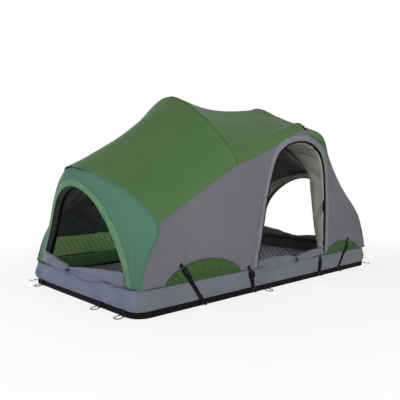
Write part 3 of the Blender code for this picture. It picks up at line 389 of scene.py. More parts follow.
def spline_point(points, position):
    last = len(points) - 1
    span = min(last - 1, max(0, int(position)))
    p1 = points[span]
    p2 = points[span + 1]
    p0 = points[span - 1] if span else p1 + (p1 - p2)
    p3 = points[span + 2] if span + 2 <= last else p2 + (p2 - p1)
    return cubic(p0, p1, p2, p3, position - span)


def smooth_path(points, steps):
    last = len(points) - 1
    return [spline_point(points, last * i / steps) for i in range(steps + 1)]


def flipped(points, along, across):
    return [Vector((p.x * along, p.y * across, p.z)) for p in points]


def end_half():
    rise = END_APEX_HEIGHT - SHOULDER_HEIGHT
    lean = END_APEX_X - SHOULDER_X
    return [
        Vector((LENGTH / 2 - 0.023, -WALL_Y, FLY_FOOT)),
        Vector((LENGTH / 2 - 0.078, -WALL_Y, (FLY_FOOT + SHOULDER_HEIGHT) / 2)),
        Vector((SHOULDER_X, -WALL_Y + 0.016, SHOULDER_HEIGHT)),
        Vector((SHOULDER_X + 0.30 * lean, -0.420, SHOULDER_HEIGHT + 0.50 * rise)),
        Vector((SHOULDER_X + 0.66 * lean, -0.210, SHOULDER_HEIGHT + 0.84 * rise)),
        Vector((END_APEX_X, 0.0, END_APEX_HEIGHT)),
    ]


def hoop_half(foot_x, eave_x):
    rise = PEAK_HEIGHT - EAVE_HEIGHT
    return [
        Vector((foot_x, -WALL_Y, FLY_FOOT)),
        Vector(((foot_x + eave_x) / 2, -WALL_Y - 0.006, (FLY_FOOT + EAVE_HEIGHT) / 2)),
        Vector((eave_x, -WALL_Y + 0.006, EAVE_HEIGHT)),
        Vector(((eave_x + PEAK_X) / 2, -0.490, EAVE_HEIGHT + 0.36 * rise)),
        Vector((0.3 * eave_x + 0.7 * PEAK_X, -0.280, EAVE_HEIGHT + 0.73 * rise)),
        Vector((PEAK_X, 0.0, PEAK_HEIGHT)),
    ]


def hood_half():
    rise = PEAK_HEIGHT - HOOD_HEIGHT
    return [
        Vector((FOOT_WIDE_X, -WALL_Y, FLY_FOOT)),
        Vector(((FOOT_WIDE_X + EAVE_HOOD_X) / 2, -WALL_Y - 0.006, (FLY_FOOT + HOOD_HEIGHT) / 2)),
        Vector((EAVE_HOOD_X, -WALL_Y, HOOD_HEIGHT - 0.090)),
        Vector((0.485, -0.450, HOOD_HEIGHT + 0.11 * rise)),
        Vector((0.460, -0.230, HOOD_HEIGHT + 0.60 * rise)),
        Vector((PEAK_X, 0.0, PEAK_HEIGHT)),
    ]


def brow_half():
    ridge = PEAK_HEIGHT - 0.65 * SADDLE_SAG
    rise = ridge - HOOD_HEIGHT
    return [Vector((HOOD_X, y, z)) for y, z in (
        (-WALL_Y, FLY_FOOT),
        (-WALL_Y - 0.010, (FLY_FOOT + HOOD_HEIGHT) / 2),
        (-WALL_Y - 0.006, HOOD_HEIGHT),
        (-0.440, HOOD_HEIGHT + 0.24 * rise),
        (-0.220, HOOD_HEIGHT + 0.60 * rise),
        (0.0, ridge),
    )]


def whole(near, far):
    return near + far[-2::-1]


NARROW = hoop_half(FOOT_NARROW_X, EAVE_NARROW_X)
WIDE = hoop_half(FOOT_WIDE_X, EAVE_WIDE_X)
RIGHT_END = whole(end_half(), flipped(end_half(), 1, -1))
LEFT_END = flipped(RIGHT_END, -1, 1)
LEFT_HOOP = whole(flipped(NARROW, -1, 1), flipped(WIDE, -1, -1))
RIGHT_HOOP = whole(hood_half(), flipped(NARROW, 1, -1))
RIGHT_HOOP_POLE = whole(WIDE, flipped(NARROW, 1, -1))
BROW = brow_half()
RIDGE = 5
HOOD_SHARE = (HOOD_X + PEAK_X) / (2 * PEAK_X)
HOOD_BAY = 1.0 + HOOD_SHARE


def inward(point):
    slope = Vector((point.x / 1.7, point.y / 0.38, (point.z - FLY_FOOT) / 1.2))
    return -slope.normalized()


def outward(point):
    return -inward(point)


def left_out(point):
    return Vector((-1.0, 0.0, 0.15)).normalized()


def right_out(point):
    return Vector((1.0, 0.0, 0.15)).normalized()


def near_out(point):
    return Vector((0.0, -1.0, 0.12)).normalized()


def tent_point(bay, position, right_hoop):
    """Point between the poles: bay runs 0 to 3 from left to right, position 0 to 10 from near to far."""
    if bay <= 1.0:
        first, second, start, sag = LEFT_END, LEFT_HOOP, 0.0, BAY_SAG
    elif bay >= 2.0:
        first, second, start, sag = right_hoop, RIGHT_END, 2.0, BAY_SAG
    else:
        first, second, start, sag = LEFT_HOOP, right_hoop, 1.0, SADDLE_SAG
    share = bay - start
    height = 1.0 - abs(position - RIDGE) / RIDGE
    depth = sag * min(1.0, 1.6 * height) * 4.0 * share * (1.0 - share)
    point = spline_point(first, position).lerp(spline_point(second, position), share)
    return point + inward(point) * depth


def fly_point(bay, position):
    """Point of the fly, with the hood over the side door."""
    point = tent_point(bay, position, RIGHT_HOOP)
    share = bay - 1.0
    if position < RIDGE and 0.0 < share < 1.0:
        plain = tent_point(HOOD_BAY, position, RIGHT_HOOP)
        lift = spline_point(BROW, position) - plain
        reach = share / HOOD_SHARE if share < HOOD_SHARE else (1.0 - share) / (1.0 - HOOD_SHARE)
        point = point + lift * reach ** 1.35
    return point


def fly_row(bay, positions):
    return [fly_point(bay, p) for p in positions]


def surface_out(bay, position):
    """Outward normal of the fly."""
    step = 0.004
    along = fly_point(min(3.0, bay + step), position) - fly_point(max(0.0, bay - step), position)
    over = fly_point(bay, min(10.0, position + step)) - fly_point(bay, max(0.0, position - step))
    normal = along.cross(over).normalized()
    return normal if normal.dot(outward(fly_point(bay, position))) > 0 else -normal


def hung(bay, position):
    """Point of the inner tent; below the fly's foot it falls straight behind the skirt."""
    held = max(0.0, min(10.0, position))
    point = tent_point(bay, held, RIGHT_HOOP_POLE)
    return point + inward(point) * INNER_GAP - UP * (abs(position - held) / 0.25 * INNER_DROP)


def end_point(across, position):
    """Point of the left end: across runs -1 near to 1 far, position from foot to apex."""
    seam = spline_point(LEFT_END[:RIDGE + 1], position)
    drop = (seam.z - FLY_FOOT) / (END_APEX_HEIGHT - FLY_FOOT)
    face_x = -(LENGTH / 2 - FLY_MARGIN) - (END_APEX_X - LENGTH / 2 + FLY_MARGIN) * drop
    bulge = (face_x - seam.x) * (1.0 - abs(across) ** 3.2)
    return Vector((seam.x + bulge, -seam.y * across, seam.z))


def end_wall(y, z):
    """Point of the left end panel at a given place across it and height."""
    low, high = 0.0, 4.95
    for _ in range(30):
        middle = (low + high) / 2
        if spline_point(LEFT_END[:RIDGE + 1], middle).z < z:
            low = middle
        else:
            high = middle
    seam = spline_point(LEFT_END[:RIDGE + 1], low)
    return end_point(max(-1.0, min(1.0, -y / seam.y)), low)


def right_wall(y, z):
    point = end_wall(-y, z)
    return Vector((-point.x, -point.y, point.z))


def wall_at(surface, x, z, step, tries, margin, highest):
    """Point of a near surface at a given place along it and height."""
    bay = 1.0 + min(1.9, max(-0.9, (x + 0.35) / 0.90))
    position = 2.0 * (z - FLY_FOOT) / 0.75
    for _ in range(tries):
        point = surface(bay, position)
        by_bay = (surface(bay + step, position) - point) / step
        by_position = (surface(bay, position + step) - point) / step
        det = by_bay.x * by_position.z - by_bay.z * by_position.x
        gap_x = x - point.x
        gap_z = z - point.z
        bay += max(-0.2, min(0.2, (gap_x * by_position.z - gap_z * by_position.x) / det))
        position += max(-0.3, min(0.3, (by_bay.x * gap_z - by_bay.z * gap_x) / det))
        bay = max(margin, min(3.0 - margin, bay))
        position = max(0.0, min(highest, position))
    return surface(bay, position)


def near_wall(x, z):
    return wall_at(fly_point, x, z, 0.001, 12, 0.01, 3.0)


def side_wall(side, x, z):
    """Point of the near or the far wall; the far one is the near one turned half round, without its hood."""
    if side == "near":
        return near_wall(x, z)
    point = near_wall(-x, z)
    return Vector((x, -point.y, z))


def arch(knots, steps):
    curve = smooth_path([Vector((a, 0.0, b)) for a, b in knots], steps)
    return [(p.x, p.z) for p in curve]


def side_door_outline(bottom, grow=0.0, steps=30):
    left = SIDE_DOOR_LEFT_X - grow
    right = SIDE_DOOR_RIGHT_X + grow
    top = SIDE_DOOR_TOP + grow
    left_span = SIDE_DOOR_APEX_X - left
    right_span = right - SIDE_DOOR_APEX_X
    knots = [(left, bottom)]
    knots += [(left + share * left_span, height * top)
              for share, height in ((0.08, 0.33), (0.24, 0.64), (0.42, 0.86), (0.68, 0.965))]
    knots += [(SIDE_DOOR_APEX_X, top)]
    knots += [(right - share * right_span, height * top)
              for share, height in ((0.52, 0.975), (0.21, 0.89), (0.03, 0.66), (0.0, 0.33))]
    return arch(knots + [(right, bottom)], steps)


def end_door_outline(door, bottom, grow=0.0, steps=28):
    half, top, shape = door
    side = [((half + grow) * width, (top + grow) * height) for height, width in shape]
    knots = [(half + grow, bottom)] + side + [(0.0, top + grow)]
    knots += [(-y, z) for y, z in reversed(side)] + [(-half - grow, bottom)]
    return arch(knots, steps)


def vent_outline(vent, steps=24):
    """Arc of a vent from its left foot over to its right foot."""
    center, half, height = vent
    places = [-1.0 + 2.0 * i / steps for i in range(steps + 1)]
    return [(center + half * t, FLY_FOOT + height * max(0.0, 1.0 - t * t) ** VENT_ARC) for t in places]


# Meshes

@contextlib.contextmanager
def editing(mesh):
    """The mesh as a shape to edit, written back afterwards."""
    shape = bmesh.new()
    shape.from_mesh(mesh)
    yield shape
    shape.to_mesh(mesh)
    shape.free()


def set_uv(mesh, uv):
    layer = mesh.uv_layers.get("cloth") or mesh.uv_layers.new(name="cloth")
    index = np.zeros(len(mesh.loops), np.int32)
    mesh.loops.foreach_get("vertex_index", index)
    layer.data.foreach_set("uv", np.asarray(uv, np.float32)[index].ravel())


def set_points(mesh, points):
    mesh.vertices.foreach_set("co", np.array([tuple(p) for p in points], np.float32).ravel())


def smooth_faces(mesh):
    mesh.polygons.foreach_set("use_smooth", [True] * len(mesh.polygons))


def new_piece(name, sheet, material):
    """New object from points, faces and cloth coordinates."""
    points, faces, uv = sheet
    mesh = bpy.data.meshes.new(name)
    mesh.from_pydata([tuple(p) for p in points], [], faces)
    mesh.update()
    set_uv(mesh, uv)
    mesh.materials.append(material)
    smooth_faces(mesh)
    return linked(name, mesh)


def face_out(item, facing=None, first=None):
    """Turn faces outwards: along a given direction for an open sheet, else by volume.

    The direction is judged by the first faces alone where their number is given."""
    with editing(item.data) as shape:
        if facing is None:
            bmesh.ops.remove_doubles(shape, verts=shape.verts, dist=1e-6)
            bmesh.ops.recalc_face_normals(shape, faces=shape.faces)
        elif sum(face.normal.dot(facing(face.calc_center_median())) * face.calc_area()
                 for face in list(shape.faces)[:first]) < 0.0:
            bmesh.ops.reverse_faces(shape, faces=shape.faces)


def join_doubles(item):
    """Join doubles and drop loose points."""
    with editing(item.data) as shape:
        bmesh.ops.remove_doubles(shape, verts=shape.verts, dist=1e-5)
        bmesh.ops.delete(shape, geom=[v for v in shape.verts if not v.link_faces], context="VERTS")


def area_of(item):
    return sum(face.area for face in item.data.polygons)


def cut_size(sheet):
    """Size of a sheet's cut, across and along."""
    _, faces, uv = sheet
    used = np.array(uv)[sorted({k for face in faces for k in face})]
    wide, long = used.max(axis=0) - used.min(axis=0)
    return float(wide), float(long)


def cut_of(sheet, area):
    """Size and area for a cut; one that leaves most of its box empty counts as a full strip of its length."""
    wide, long = cut_size(sheet)
    if area < 0.3 * wide * long:
        return (area / long, long), None
    return (wide, long), area


def as_cloth(item, facing, thickness, slot, nodes=(), offset=-1.0, first=None):
    """Make the item a thin closed cloth on the tent; gives its area before it has a thickness."""
    join_doubles(item)
    face_out(item, facing, first)
    area = area_of(item)
    if thickness:
        modifier = item.modifiers.new("thickness", "SOLIDIFY")
        modifier.thickness = thickness
        modifier.offset = offset
    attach(item, "tent")
    if nodes:
        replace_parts(item, *nodes)
    return area


def grid_sheet(rows, columns, surface):
    """Points, faces and cloth coordinates of a grid: surface(r, c) with shares from 0 to 1."""
    points = [surface(r / rows, c / columns) for r in range(rows + 1) for c in range(columns + 1)]
    uv = [[0.0, 0.0] for _ in points]
    width = columns + 1
    for k, point in enumerate(points):
        if k % width:
            uv[k][1] = uv[k - 1][1] + (point - points[k - 1]).length
        if k >= width:
            uv[k][0] = uv[k - width][0] + (point - points[k - width]).length
    return points, grid_faces(rows, columns), uv


def grid_faces(rows, columns):
    width = columns + 1
    return [[a, a + 1, a + 1 + width, a + width] for a in range(rows * width) if a % width < columns]


def signed_gap(points_2d, outline):
    """Distance of each point from a closed outline, below zero inside it."""
    p = np.asarray(points_2d, float)
    best = np.full(len(p), 1e9)
    inside = np.zeros(len(p), bool)
    for first, second in zip(outline, outline[1:] + outline[:1]):
        a = np.array(first)
        b = np.array(second)
        edge = b - a
        t = np.clip(((p - a) @ edge) / max(edge @ edge, 1e-12), 0.0, 1.0)
        best = np.minimum(best, np.hypot(*(p - a - t[:, None] * edge).T))
        spans = (a[1] > p[:, 1]) != (b[1] > p[:, 1])
        with np.errstate(divide="ignore", invalid="ignore"):
            cross = (b[0] - a[0]) * (p[:, 1] - a[1]) / (b[1] - a[1]) + a[0]
        inside ^= spans & (p[:, 0] < cross)
    return np.where(inside, -best, best)


def trimmed(sheet, signed):
    """Keep the part of a sheet where signed is above zero, cut along its zero line."""
    points, faces, uv = sheet
    made = {}

    def crossing(a, b):
        key = (min(a, b), max(a, b))
        if key not in made:
            t = signed[a] / (signed[a] - signed[b])
            made[key] = len(points)
            points.append(points[a].lerp(points[b], t))
            uv.append([uv[a][0] + (uv[b][0] - uv[a][0]) * t, uv[a][1] + (uv[b][1] - uv[a][1]) * t])
        return made[key]

    kept = []
    for face in faces:
        ring = []
        for i, a in enumerate(face):
            b = face[(i + 1) % len(face)]
            if signed[a] > 0.0:
                ring.append(a)
            if (signed[a] > 0.0) != (signed[b] > 0.0):
                ring.append(crossing(a, b))
        if len(ring) >= 3:
            kept.append(ring)
    return points, kept, uv


def seen_from_side(points):
    return [(p.x, p.z) for p in points]


def seen_from_end(points):
    return [(p.y, p.z) for p in points]


# Folds of stretched cloth

def creases(surface, *rows):
    """Tension folds from rows of start (bay, position), end (bay, position), width and height."""
    return [(surface(a, b), surface(c, d), width, height) for a, b, c, d, width, height in rows]


def fan(corner, ends, width, height):
    """Tension folds that spread from a corner."""
    return [(corner, end, width, height * (0.7 + 0.3 * ((k * 7) % 3) / 2)) for k, end in enumerate(ends)]


def crease_lift(points, folds):
    """Lift of the cloth at each point from tension folds (start, end, width, height)."""
    p = np.array([tuple(v) for v in points])
    lift = np.zeros(len(p))
    for start, end, width, height in folds:
        a = np.array(tuple(start))
        edge = np.array(tuple(end)) - a
        near = np.clip(((p - a) @ edge) / (edge @ edge), 0.0, 1.0)
        gap = np.linalg.norm(p - a - near[:, None] * edge, axis=1) / width
        taper = np.clip(np.sin(np.pi * (0.08 + 0.84 * near)), 0.0, 1.0)
        lift += height * taper * (np.exp(-gap ** 2) - 0.45 * np.exp(-((gap - 1.7) / 0.9) ** 2))
    return lift


def billow(points, scale, height, seed):
    """Soft uneven lift of stretched cloth."""
    shift = Vector((seed * 7.3, seed * 3.1, seed * 5.7))
    return np.array([height * noise.noise(p * scale + shift) for p in points])


def swelling(points, center, radius, height):
    """Soft round bulge of the cloth about a place."""
    p = np.array([tuple(v) for v in points])
    gap = np.linalg.norm(p - np.array(tuple(center)), axis=1) / radius
    return height * np.exp(-gap ** 2)


def fly_lift(points, folds, seed, soft):
    """Folds, slow billow and small crumples of the fly."""
    return crease_lift(points, folds) + billow(points, 3.2, soft, seed) + billow(points, 11.0, 0.35 * soft, seed + 4)


def inner_lift(points, folds, seed, soft):
    lift = crease_lift(points, folds) + billow(points, 5.0, soft, seed) + billow(points, 17.0, 0.4 * soft, seed + 3)
    return np.minimum(lift, 0.010)


def ruck(height, *place):
    """Uneven push of the cloth at a place, up to the height either way."""
    return noise.noise(Vector(place)) * height


def raise_cloth(item, points, lift, facing):
    set_points(item.data, [p + facing(p) * float(h) for p, h in zip(points, lift)])


# Runs that repeat along a line, made with geometry nodes

PIECE_SIZES = ("Piece length", "Piece width", "Piece height")


def run_tree():
    """Small pieces placed at a spacing along lines, lying along them and facing the stored normal."""
    tree = bpy.data.node_groups.new("run_along_line", "GeometryNodeTree")
    for name, kind, way in [("Geometry", "Geometry", "INPUT"), ("Spacing", "Float", "INPUT")] + [
            (size, "Float", "INPUT") for size in PIECE_SIZES] + [
            ("Finish", "Material", "INPUT"), ("Geometry", "Geometry", "OUTPUT")]:
        tree.interface.new_socket(name, in_out=way, socket_type="NodeSocket" + kind)

    def add(kind, inputs=(), **settings):
        node = tree.nodes.new(kind)
        for key, value in settings.items():
            setattr(node, key, value)
        for key, value in dict(inputs).items():
            if isinstance(value, bpy.types.NodeSocket):
                tree.links.new(value, node.inputs[key])
            else:
                node.inputs[key].default_value = value
        return node.outputs

    source = add("NodeGroupInput")
    curve = add("GeometryNodeMeshToCurve", {"Mesh": source["Geometry"]})
    places = add("GeometryNodeResampleCurve", {"Curve": curve["Curve"], "Length": source["Spacing"]}, mode="LENGTH")
    facing = add("GeometryNodeInputNamedAttribute", {"Name": "facing"}, data_type="FLOAT_VECTOR")
    tangent = add("GeometryNodeInputTangent")
    along = add("FunctionNodeAlignRotationToVector", {"Vector": tangent["Tangent"]}, axis="X")
    turned = add("FunctionNodeAlignRotationToVector",
                 {"Rotation": along["Rotation"], "Vector": facing["Attribute"]}, axis="Z", pivot_axis="X")
    ball = add("GeometryNodeMeshIcoSphere", {"Radius": 0.5, "Subdivisions": 1})
    size = add("ShaderNodeCombineXYZ", {axis: source[name] for axis, name in zip("XYZ", PIECE_SIZES)})
    placed = add("GeometryNodeInstanceOnPoints", {
        "Points": places["Curve"], "Instance": ball["Mesh"], "Rotation": turned["Rotation"], "Scale": size["Vector"]})
    solid = add("GeometryNodeRealizeInstances", {"Geometry": placed["Instances"]})
    done = add("GeometryNodeSetMaterial", {"Geometry": solid["Geometry"], "Material": source["Finish"]})
    add("NodeGroupOutput", {"Geometry": done["Geometry"]})
    return tree


RUN_TREE = run_tree()


def evaluated(item):
    """New mesh of the item as its modifiers leave it."""
    bpy.context.view_layer.update()
    graph = bpy.context.evaluated_depsgraph_get()
    return bpy.data.meshes.new_from_object(item.evaluated_get(graph))


def repeat_along(name, lines, spacing, size, material):
    """One mesh of small pieces along several lines; each line lists (point, facing)."""
    mesh = bpy.data.meshes.new(name + "_lines")
    points, edges = [], []
    for line in lines:
        start = len(points)
        points += line
        edges += [(k, k + 1) for k in range(start, len(points) - 1)]
    mesh.from_pydata([tuple(point) for point, _ in points], edges, [])
    attribute = mesh.attributes.new("facing", "FLOAT_VECTOR", "POINT")
    attribute.data.foreach_set("vector", np.array([tuple(out) for _, out in points], np.float32).ravel())
    guide = linked(name + "_guide", mesh)
    modifier = guide.modifiers.new("run", "NODES")
    modifier.node_group = RUN_TREE
    sockets = {s.name: s.identifier for s in RUN_TREE.interface.items_tree if s.in_out == "INPUT"}
    for key, value in zip(("Spacing",) + PIECE_SIZES + ("Finish",), (spacing,) + size + (material,)):
        modifier[sockets[key]] = value
    made = evaluated(guide)
    made.name = name
    item = linked(name, made)
    bpy.data.objects.remove(guide, do_unlink=True)
    smooth_faces(made)
    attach(item, "tent")


# Strips and tubes that follow a line

def closed_rings(count, size, loop):
    """Faces between rings of points, with a cap at each end of an open run."""
    faces = []
    for i in range(count if loop else count - 1):
        n = (i + 1) % count
        for k in range(size):
            m = (k + 1) % size
            faces.append([i * size + k, i * size + m, n * size + m, n * size + k])
    if not loop:
        faces += [list(range(size)), list(range((count - 1) * size, count * size))]
    return faces


def strip(name, line, profile, material, body="tent", loop=False):
    """Swept piece: line lists (point, facing); profile lists (across, up), closed round."""
    count = len(line)
    points, uv = [], []
    run = 0.0
    for i, (point, facing) in enumerate(line):
        before = line[i - 1][0] if (i or loop) else point
        after = line[(i + 1) % count][0] if (i + 1 < count or loop) else point
        along = (after - before).normalized()
        up = (facing - along * facing.dot(along)).normalized()
        across = along.cross(up)
        if i:
            run += (point - line[i - 1][0]).length
        points += [point + across * a + up * b for a, b in profile]
        uv += [[a, run] for a, _ in profile]
    item = new_piece(name, (points, closed_rings(count, len(profile), loop), uv), material)
    face_out(item)
    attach(item, body)
    return item


def flat_profile(width, thickness, low=0.0):
    """Rounded flat strip section lying on its line."""
    half = width / 2
    soft = min(thickness * 0.5, half * 0.5)
    return [
        (-half, low), (half, low), (half, low + thickness - soft), (half - soft, low + thickness),
        (-half + soft, low + thickness), (-half, low + thickness - soft),
    ]


def round_profile(wide, tall=None, sides=8):
    angles = [2 * math.pi * k / sides for k in range(sides)]
    return [(wide * math.cos(a), (tall or wide) * math.sin(a)) for a in angles]


def moulded_profile(wide, tall, corner):
    """Flat section with its corners taken off."""
    shape = ((-1.0, -0.5), (-corner, -1.0), (corner, -1.0), (1.0, -0.5),
             (1.0, 0.5), (corner, 1.0), (-corner, 1.0), (-1.0, 0.5))
    return [(a * wide, b * tall) for a, b in shape]


def neighbours(path, k):
    return path[max(k - 1, 0)], path[min(k + 1, len(path) - 1)]


def faced(path, across):
    """The path with the direction that lies square to it and to across."""
    line = []
    for k, point in enumerate(path):
        before, after = neighbours(path, k)
        line.append((point, (after - before).normalized().cross(across).normalized()))
    return line


def shifted(line, amount):
    """The same line moved sideways over the surface."""
    path = [point for point, _ in line]
    moved = []
    for i, (point, facing) in enumerate(line):
        before, after = neighbours(path, i)
        across = (after - before).normalized().cross(facing).normalized()
        moved.append((point + across * amount, facing))
    return moved


def on_fly(start, stop, steps, raised):
    """Line over the fly between two (bay, position), with the outward direction at each point."""
    line = []
    for i in range(steps + 1):
        bay, position = (a + (b - a) * i / steps for a, b in zip(start, stop))
        out = surface_out(bay, position)
        line.append((fly_point(bay, position) + out * raised, out))
    return line


def on_wall(outline, wall, facing, raised):
    """Line over a wall with its outward direction."""
    line = []
    for place in outline:
        point = wall(*place)
        out = facing(point)
        line.append((point + out * raised, out))
    return line


# Fly panels

HOOPS = ["hoop_pole_left", "hoop_pole_right"]
SIDE_FOLDS = {
    "near": creases(
        fly_point,
        (0.12, 1.5, 0.40, 0.45, 0.020, 0.0042), (0.30, 1.75, 0.62, 0.60, 0.022, 0.0030),
        (0.05, 1.9, 0.22, 0.9, 0.016, 0.0028), (0.85, 1.9, 1.06, 0.3, 0.020, 0.0030),
        (1.10, 1.95, 1.12, 0.9, 0.016, 0.0026), (2.15, 1.9, 2.30, 0.6, 0.018, 0.0030),
        (2.96, 1.7, 2.55, 0.7, 0.022, 0.0036), (2.85, 1.9, 2.30, 1.2, 0.020, 0.0028),
    ),
    "far": creases(
        fly_point,
        (0.15, 8.5, 0.45, 9.4, 0.020, 0.0038), (0.90, 8.2, 0.80, 9.4, 0.020, 0.0030),
        (1.10, 8.2, 1.50, 9.4, 0.022, 0.0034), (1.90, 8.2, 1.60, 9.3, 0.020, 0.0030),
        (2.85, 8.4, 2.50, 9.4, 0.020, 0.0038),
    ),
}


def cloth_panel(name, sheet, material, facing, lift, slot, nodes, band=None):
    """Sheet cut flat, then hung: its flat size is measured before its folds are raised.

    band is the length of an arch-shaped cut, whose width then follows from its area."""
    item = new_piece(name, sheet, material)
    area = area_of(item)
    flat = (area / band, band) if band else cut_size(sheet)
    raise_cloth(item, sheet[0], lift, facing)
    as_cloth(item, facing, 0.0009, slot, nodes)


def make_roof():
    hood_row = 57
    rows = 72

    def middle_bay(r):
        """Bay of a row, with one row exactly on the hood's ridge."""
        step = r * rows
        if step <= hood_row:
            return 1.0 + HOOD_SHARE * step / hood_row
        return HOOD_BAY + (1.0 - HOOD_SHARE) * (step - hood_row) / (rows - hood_row)

    ways = (
        ("left", lambda r: r, "end_pole_left", "hoop_pole_left"),
        ("middle", middle_bay, "hoop_pole_left", "hoop_pole_right"),
        ("right", lambda r: 2.0 + r, "hoop_pole_right", "end_pole_right"),
    )
    fans = {
        # corner (bay, position), bay of the ends, their positions, width, height
        "left": (
            (0.97, 4.9, 0.10, (2.3, 2.9, 3.6, 4.3), 0.020, 0.0030), (0.02, 4.8, 0.80, (3.3, 4.1, 5.8), 0.018, 0.0022),
            (0.04, 2.1, 0.85, (2.3, 2.9, 3.4), 0.020, 0.0026), (0.97, 5.1, 0.10, (5.7, 6.4, 7.1, 7.7), 0.020, 0.0030),
        ),
        "middle": (
            (1.03, 4.9, 1.72, (2.3, 3.0, 3.9), 0.022, 0.0045), (1.97, 4.9, 1.25, (2.4, 3.3, 4.2), 0.020, 0.0032),
            (1.04, 2.3, 1.75, (2.15, 2.7), 0.018, 0.0030), (1.03, 5.1, 1.9, (5.8, 6.8, 7.7), 0.022, 0.0036),
        ),
        "right": (
            (2.03, 4.9, 2.92, (2.3, 3.1, 4.0), 0.020, 0.0032), (2.97, 4.9, 2.25, (3.6, 4.3, 5.8), 0.018, 0.0022),
            (2.03, 5.1, 2.92, (6.2, 7.1, 7.7), 0.020, 0.0030),
        ),
    }
    for place, bay_at, first, second in ways:
        sheet = grid_sheet(rows, 120, lambda r, c: fly_point(bay_at(r), 2.0 + 6.0 * c))
        folds = []
        for bay, position, end_bay, ends, width, height in fans[place]:
            folds += fan(fly_point(bay, position), fly_row(end_bay, ends), width, height)
        lift = fly_lift(sheet[0], folds, len(place), 0.0026)
        if place != "left":
            lift = lift + swelling(sheet[0], fly_point(2.08, 2.75), 0.135, 0.030)
        name = "roof_" + place
        cloth_panel(name, sheet, ROOF_GREEN, outward, lift, "roof", ["fly_" + name])


def vent_opening(vent):
    outline = vent_outline(vent)
    return outline + [(outline[-1][0], FLY_FOOT - 0.05), (outline[0][0], FLY_FOOT - 0.05)]


def make_side_walls():
    door = side_door_outline(FLY_FOOT - 0.1, 0.0, 60)
    for side, first, last in (("near", 0.0, 2.0), ("far", 10.0, 8.0)):
        sheet = grid_sheet(280, 84, lambda r, c: fly_point(3.0 * r, first + (last - first) * c))
        flat = seen_from_side(sheet[0])
        holes = [vent_opening(VENTS[side + "_left"]), vent_opening(VENTS[side + "_right"])]
        if side == "near":
            holes.append(door)
        sheet = trimmed(sheet, np.min([signed_gap(flat, hole) for hole in holes], axis=0))
        lift = fly_lift(sheet[0], SIDE_FOLDS[side], 11, 0.0024)
        lift = lift * np.array([min(1.0, 12.0 * (p.z - FLY_FOOT)) for p in sheet[0]])
        name = "side_" + side
        cloth_panel(name, sheet, SIDE_GREY, outward, lift, "side", ["fly_" + name])

    def flap(r, c):
        drop = 0.34 * min(1.0, r / 0.45) * min(1.0, (1.0 - r) / 0.25)
        return fly_point(HOOD_BAY + (2.24 - HOOD_BAY) * r, 2.0 - drop * c)

    sheet = grid_sheet(110, 26, flap)
    sheet = trimmed(sheet, signed_gap(seen_from_side(sheet[0]), side_door_outline(FLY_FOOT, 0.052, 60)))
    lift = fly_lift(sheet[0], SIDE_FOLDS["near"], 11, 0.0024) + 0.0017
    cloth_panel("hood_flap", sheet, ROOF_GREEN, outward, lift, "roof", [], 0.42)


def make_ends():
    folds = []
    for y, lean in ((-0.52, 0.05), (-0.44, 0.07), (-0.34, 0.08), (0.30, -0.08), (0.42, -0.07), (0.53, -0.05)):
        low = 0.20 if abs(y) > 0.5 else 0.42
        folds.append((end_wall(y, low), end_wall(y + lean, low + 0.22), 0.014, 0.0034))
    folds += [(end_wall(0.12, 0.74), end_wall(0.26, 0.62), 0.012, 0.0022)]
    folds += [(end_wall(-0.10, 0.75), end_wall(-0.24, 0.63), 0.012, 0.0022)]
    for side, door, facing in (("left", LEFT_DOOR, left_out), ("right", RIGHT_DOOR, right_out)):
        sheet = grid_sheet(130, 80, lambda r, c: end_point(2.0 * r - 1.0, 4.97 * c))
        sheet = trimmed(sheet, signed_gap(seen_from_end(sheet[0]), end_door_outline(door, FLY_FOOT - 0.1, 0.0, 60)))
        lift = fly_lift(sheet[0], folds, 17, 0.0022)
        if side == "right":
            sheet = (flipped(sheet[0], -1, -1),) + sheet[1:]
        name = "end_" + side
        # The end panels' teal is painted bluish light on the fly's green.
        cloth_panel(name, sheet, END_GREEN_PAINTED_BLUE_LIGHT, facing, lift, "end", ["fly_" + name], 1.9)


make_roof()
make_side_walls()
make_ends()


# Hems, seams and zips

DOORWAYS = (
    # name, outline, wall, facing, hem's cloth, slot, width, thread and wall piece, steps
    ("side", lambda grow, steps: side_door_outline(FLY_FOOT, grow, steps), near_wall, near_out,
     HEM_GREY, "side", 0.038, THREAD_GREY, "side_near", 150),
    ("end_left", lambda grow, steps: end_door_outline(LEFT_DOOR, FLY_FOOT, grow, steps), end_wall, left_out,
     HEM_GREEN, "end", 0.040, THREAD_GREEN, "end_left", 130),
    ("end_right", lambda grow, steps: end_door_outline(RIGHT_DOOR, FLY_FOOT, grow, steps), right_wall, right_out,
     HEM_GREEN, "end", 0.040, THREAD_GREEN, "end_right", 130),
)
HEM_ROWS = 5
HEM_STITCH = (0.0040, 0.0009, 0.0007)
SEAM_STITCH = (0.0042, 0.0009, 0.0008)
SKIRT_STITCH = (0.0040, 0.0009, 0.0008)


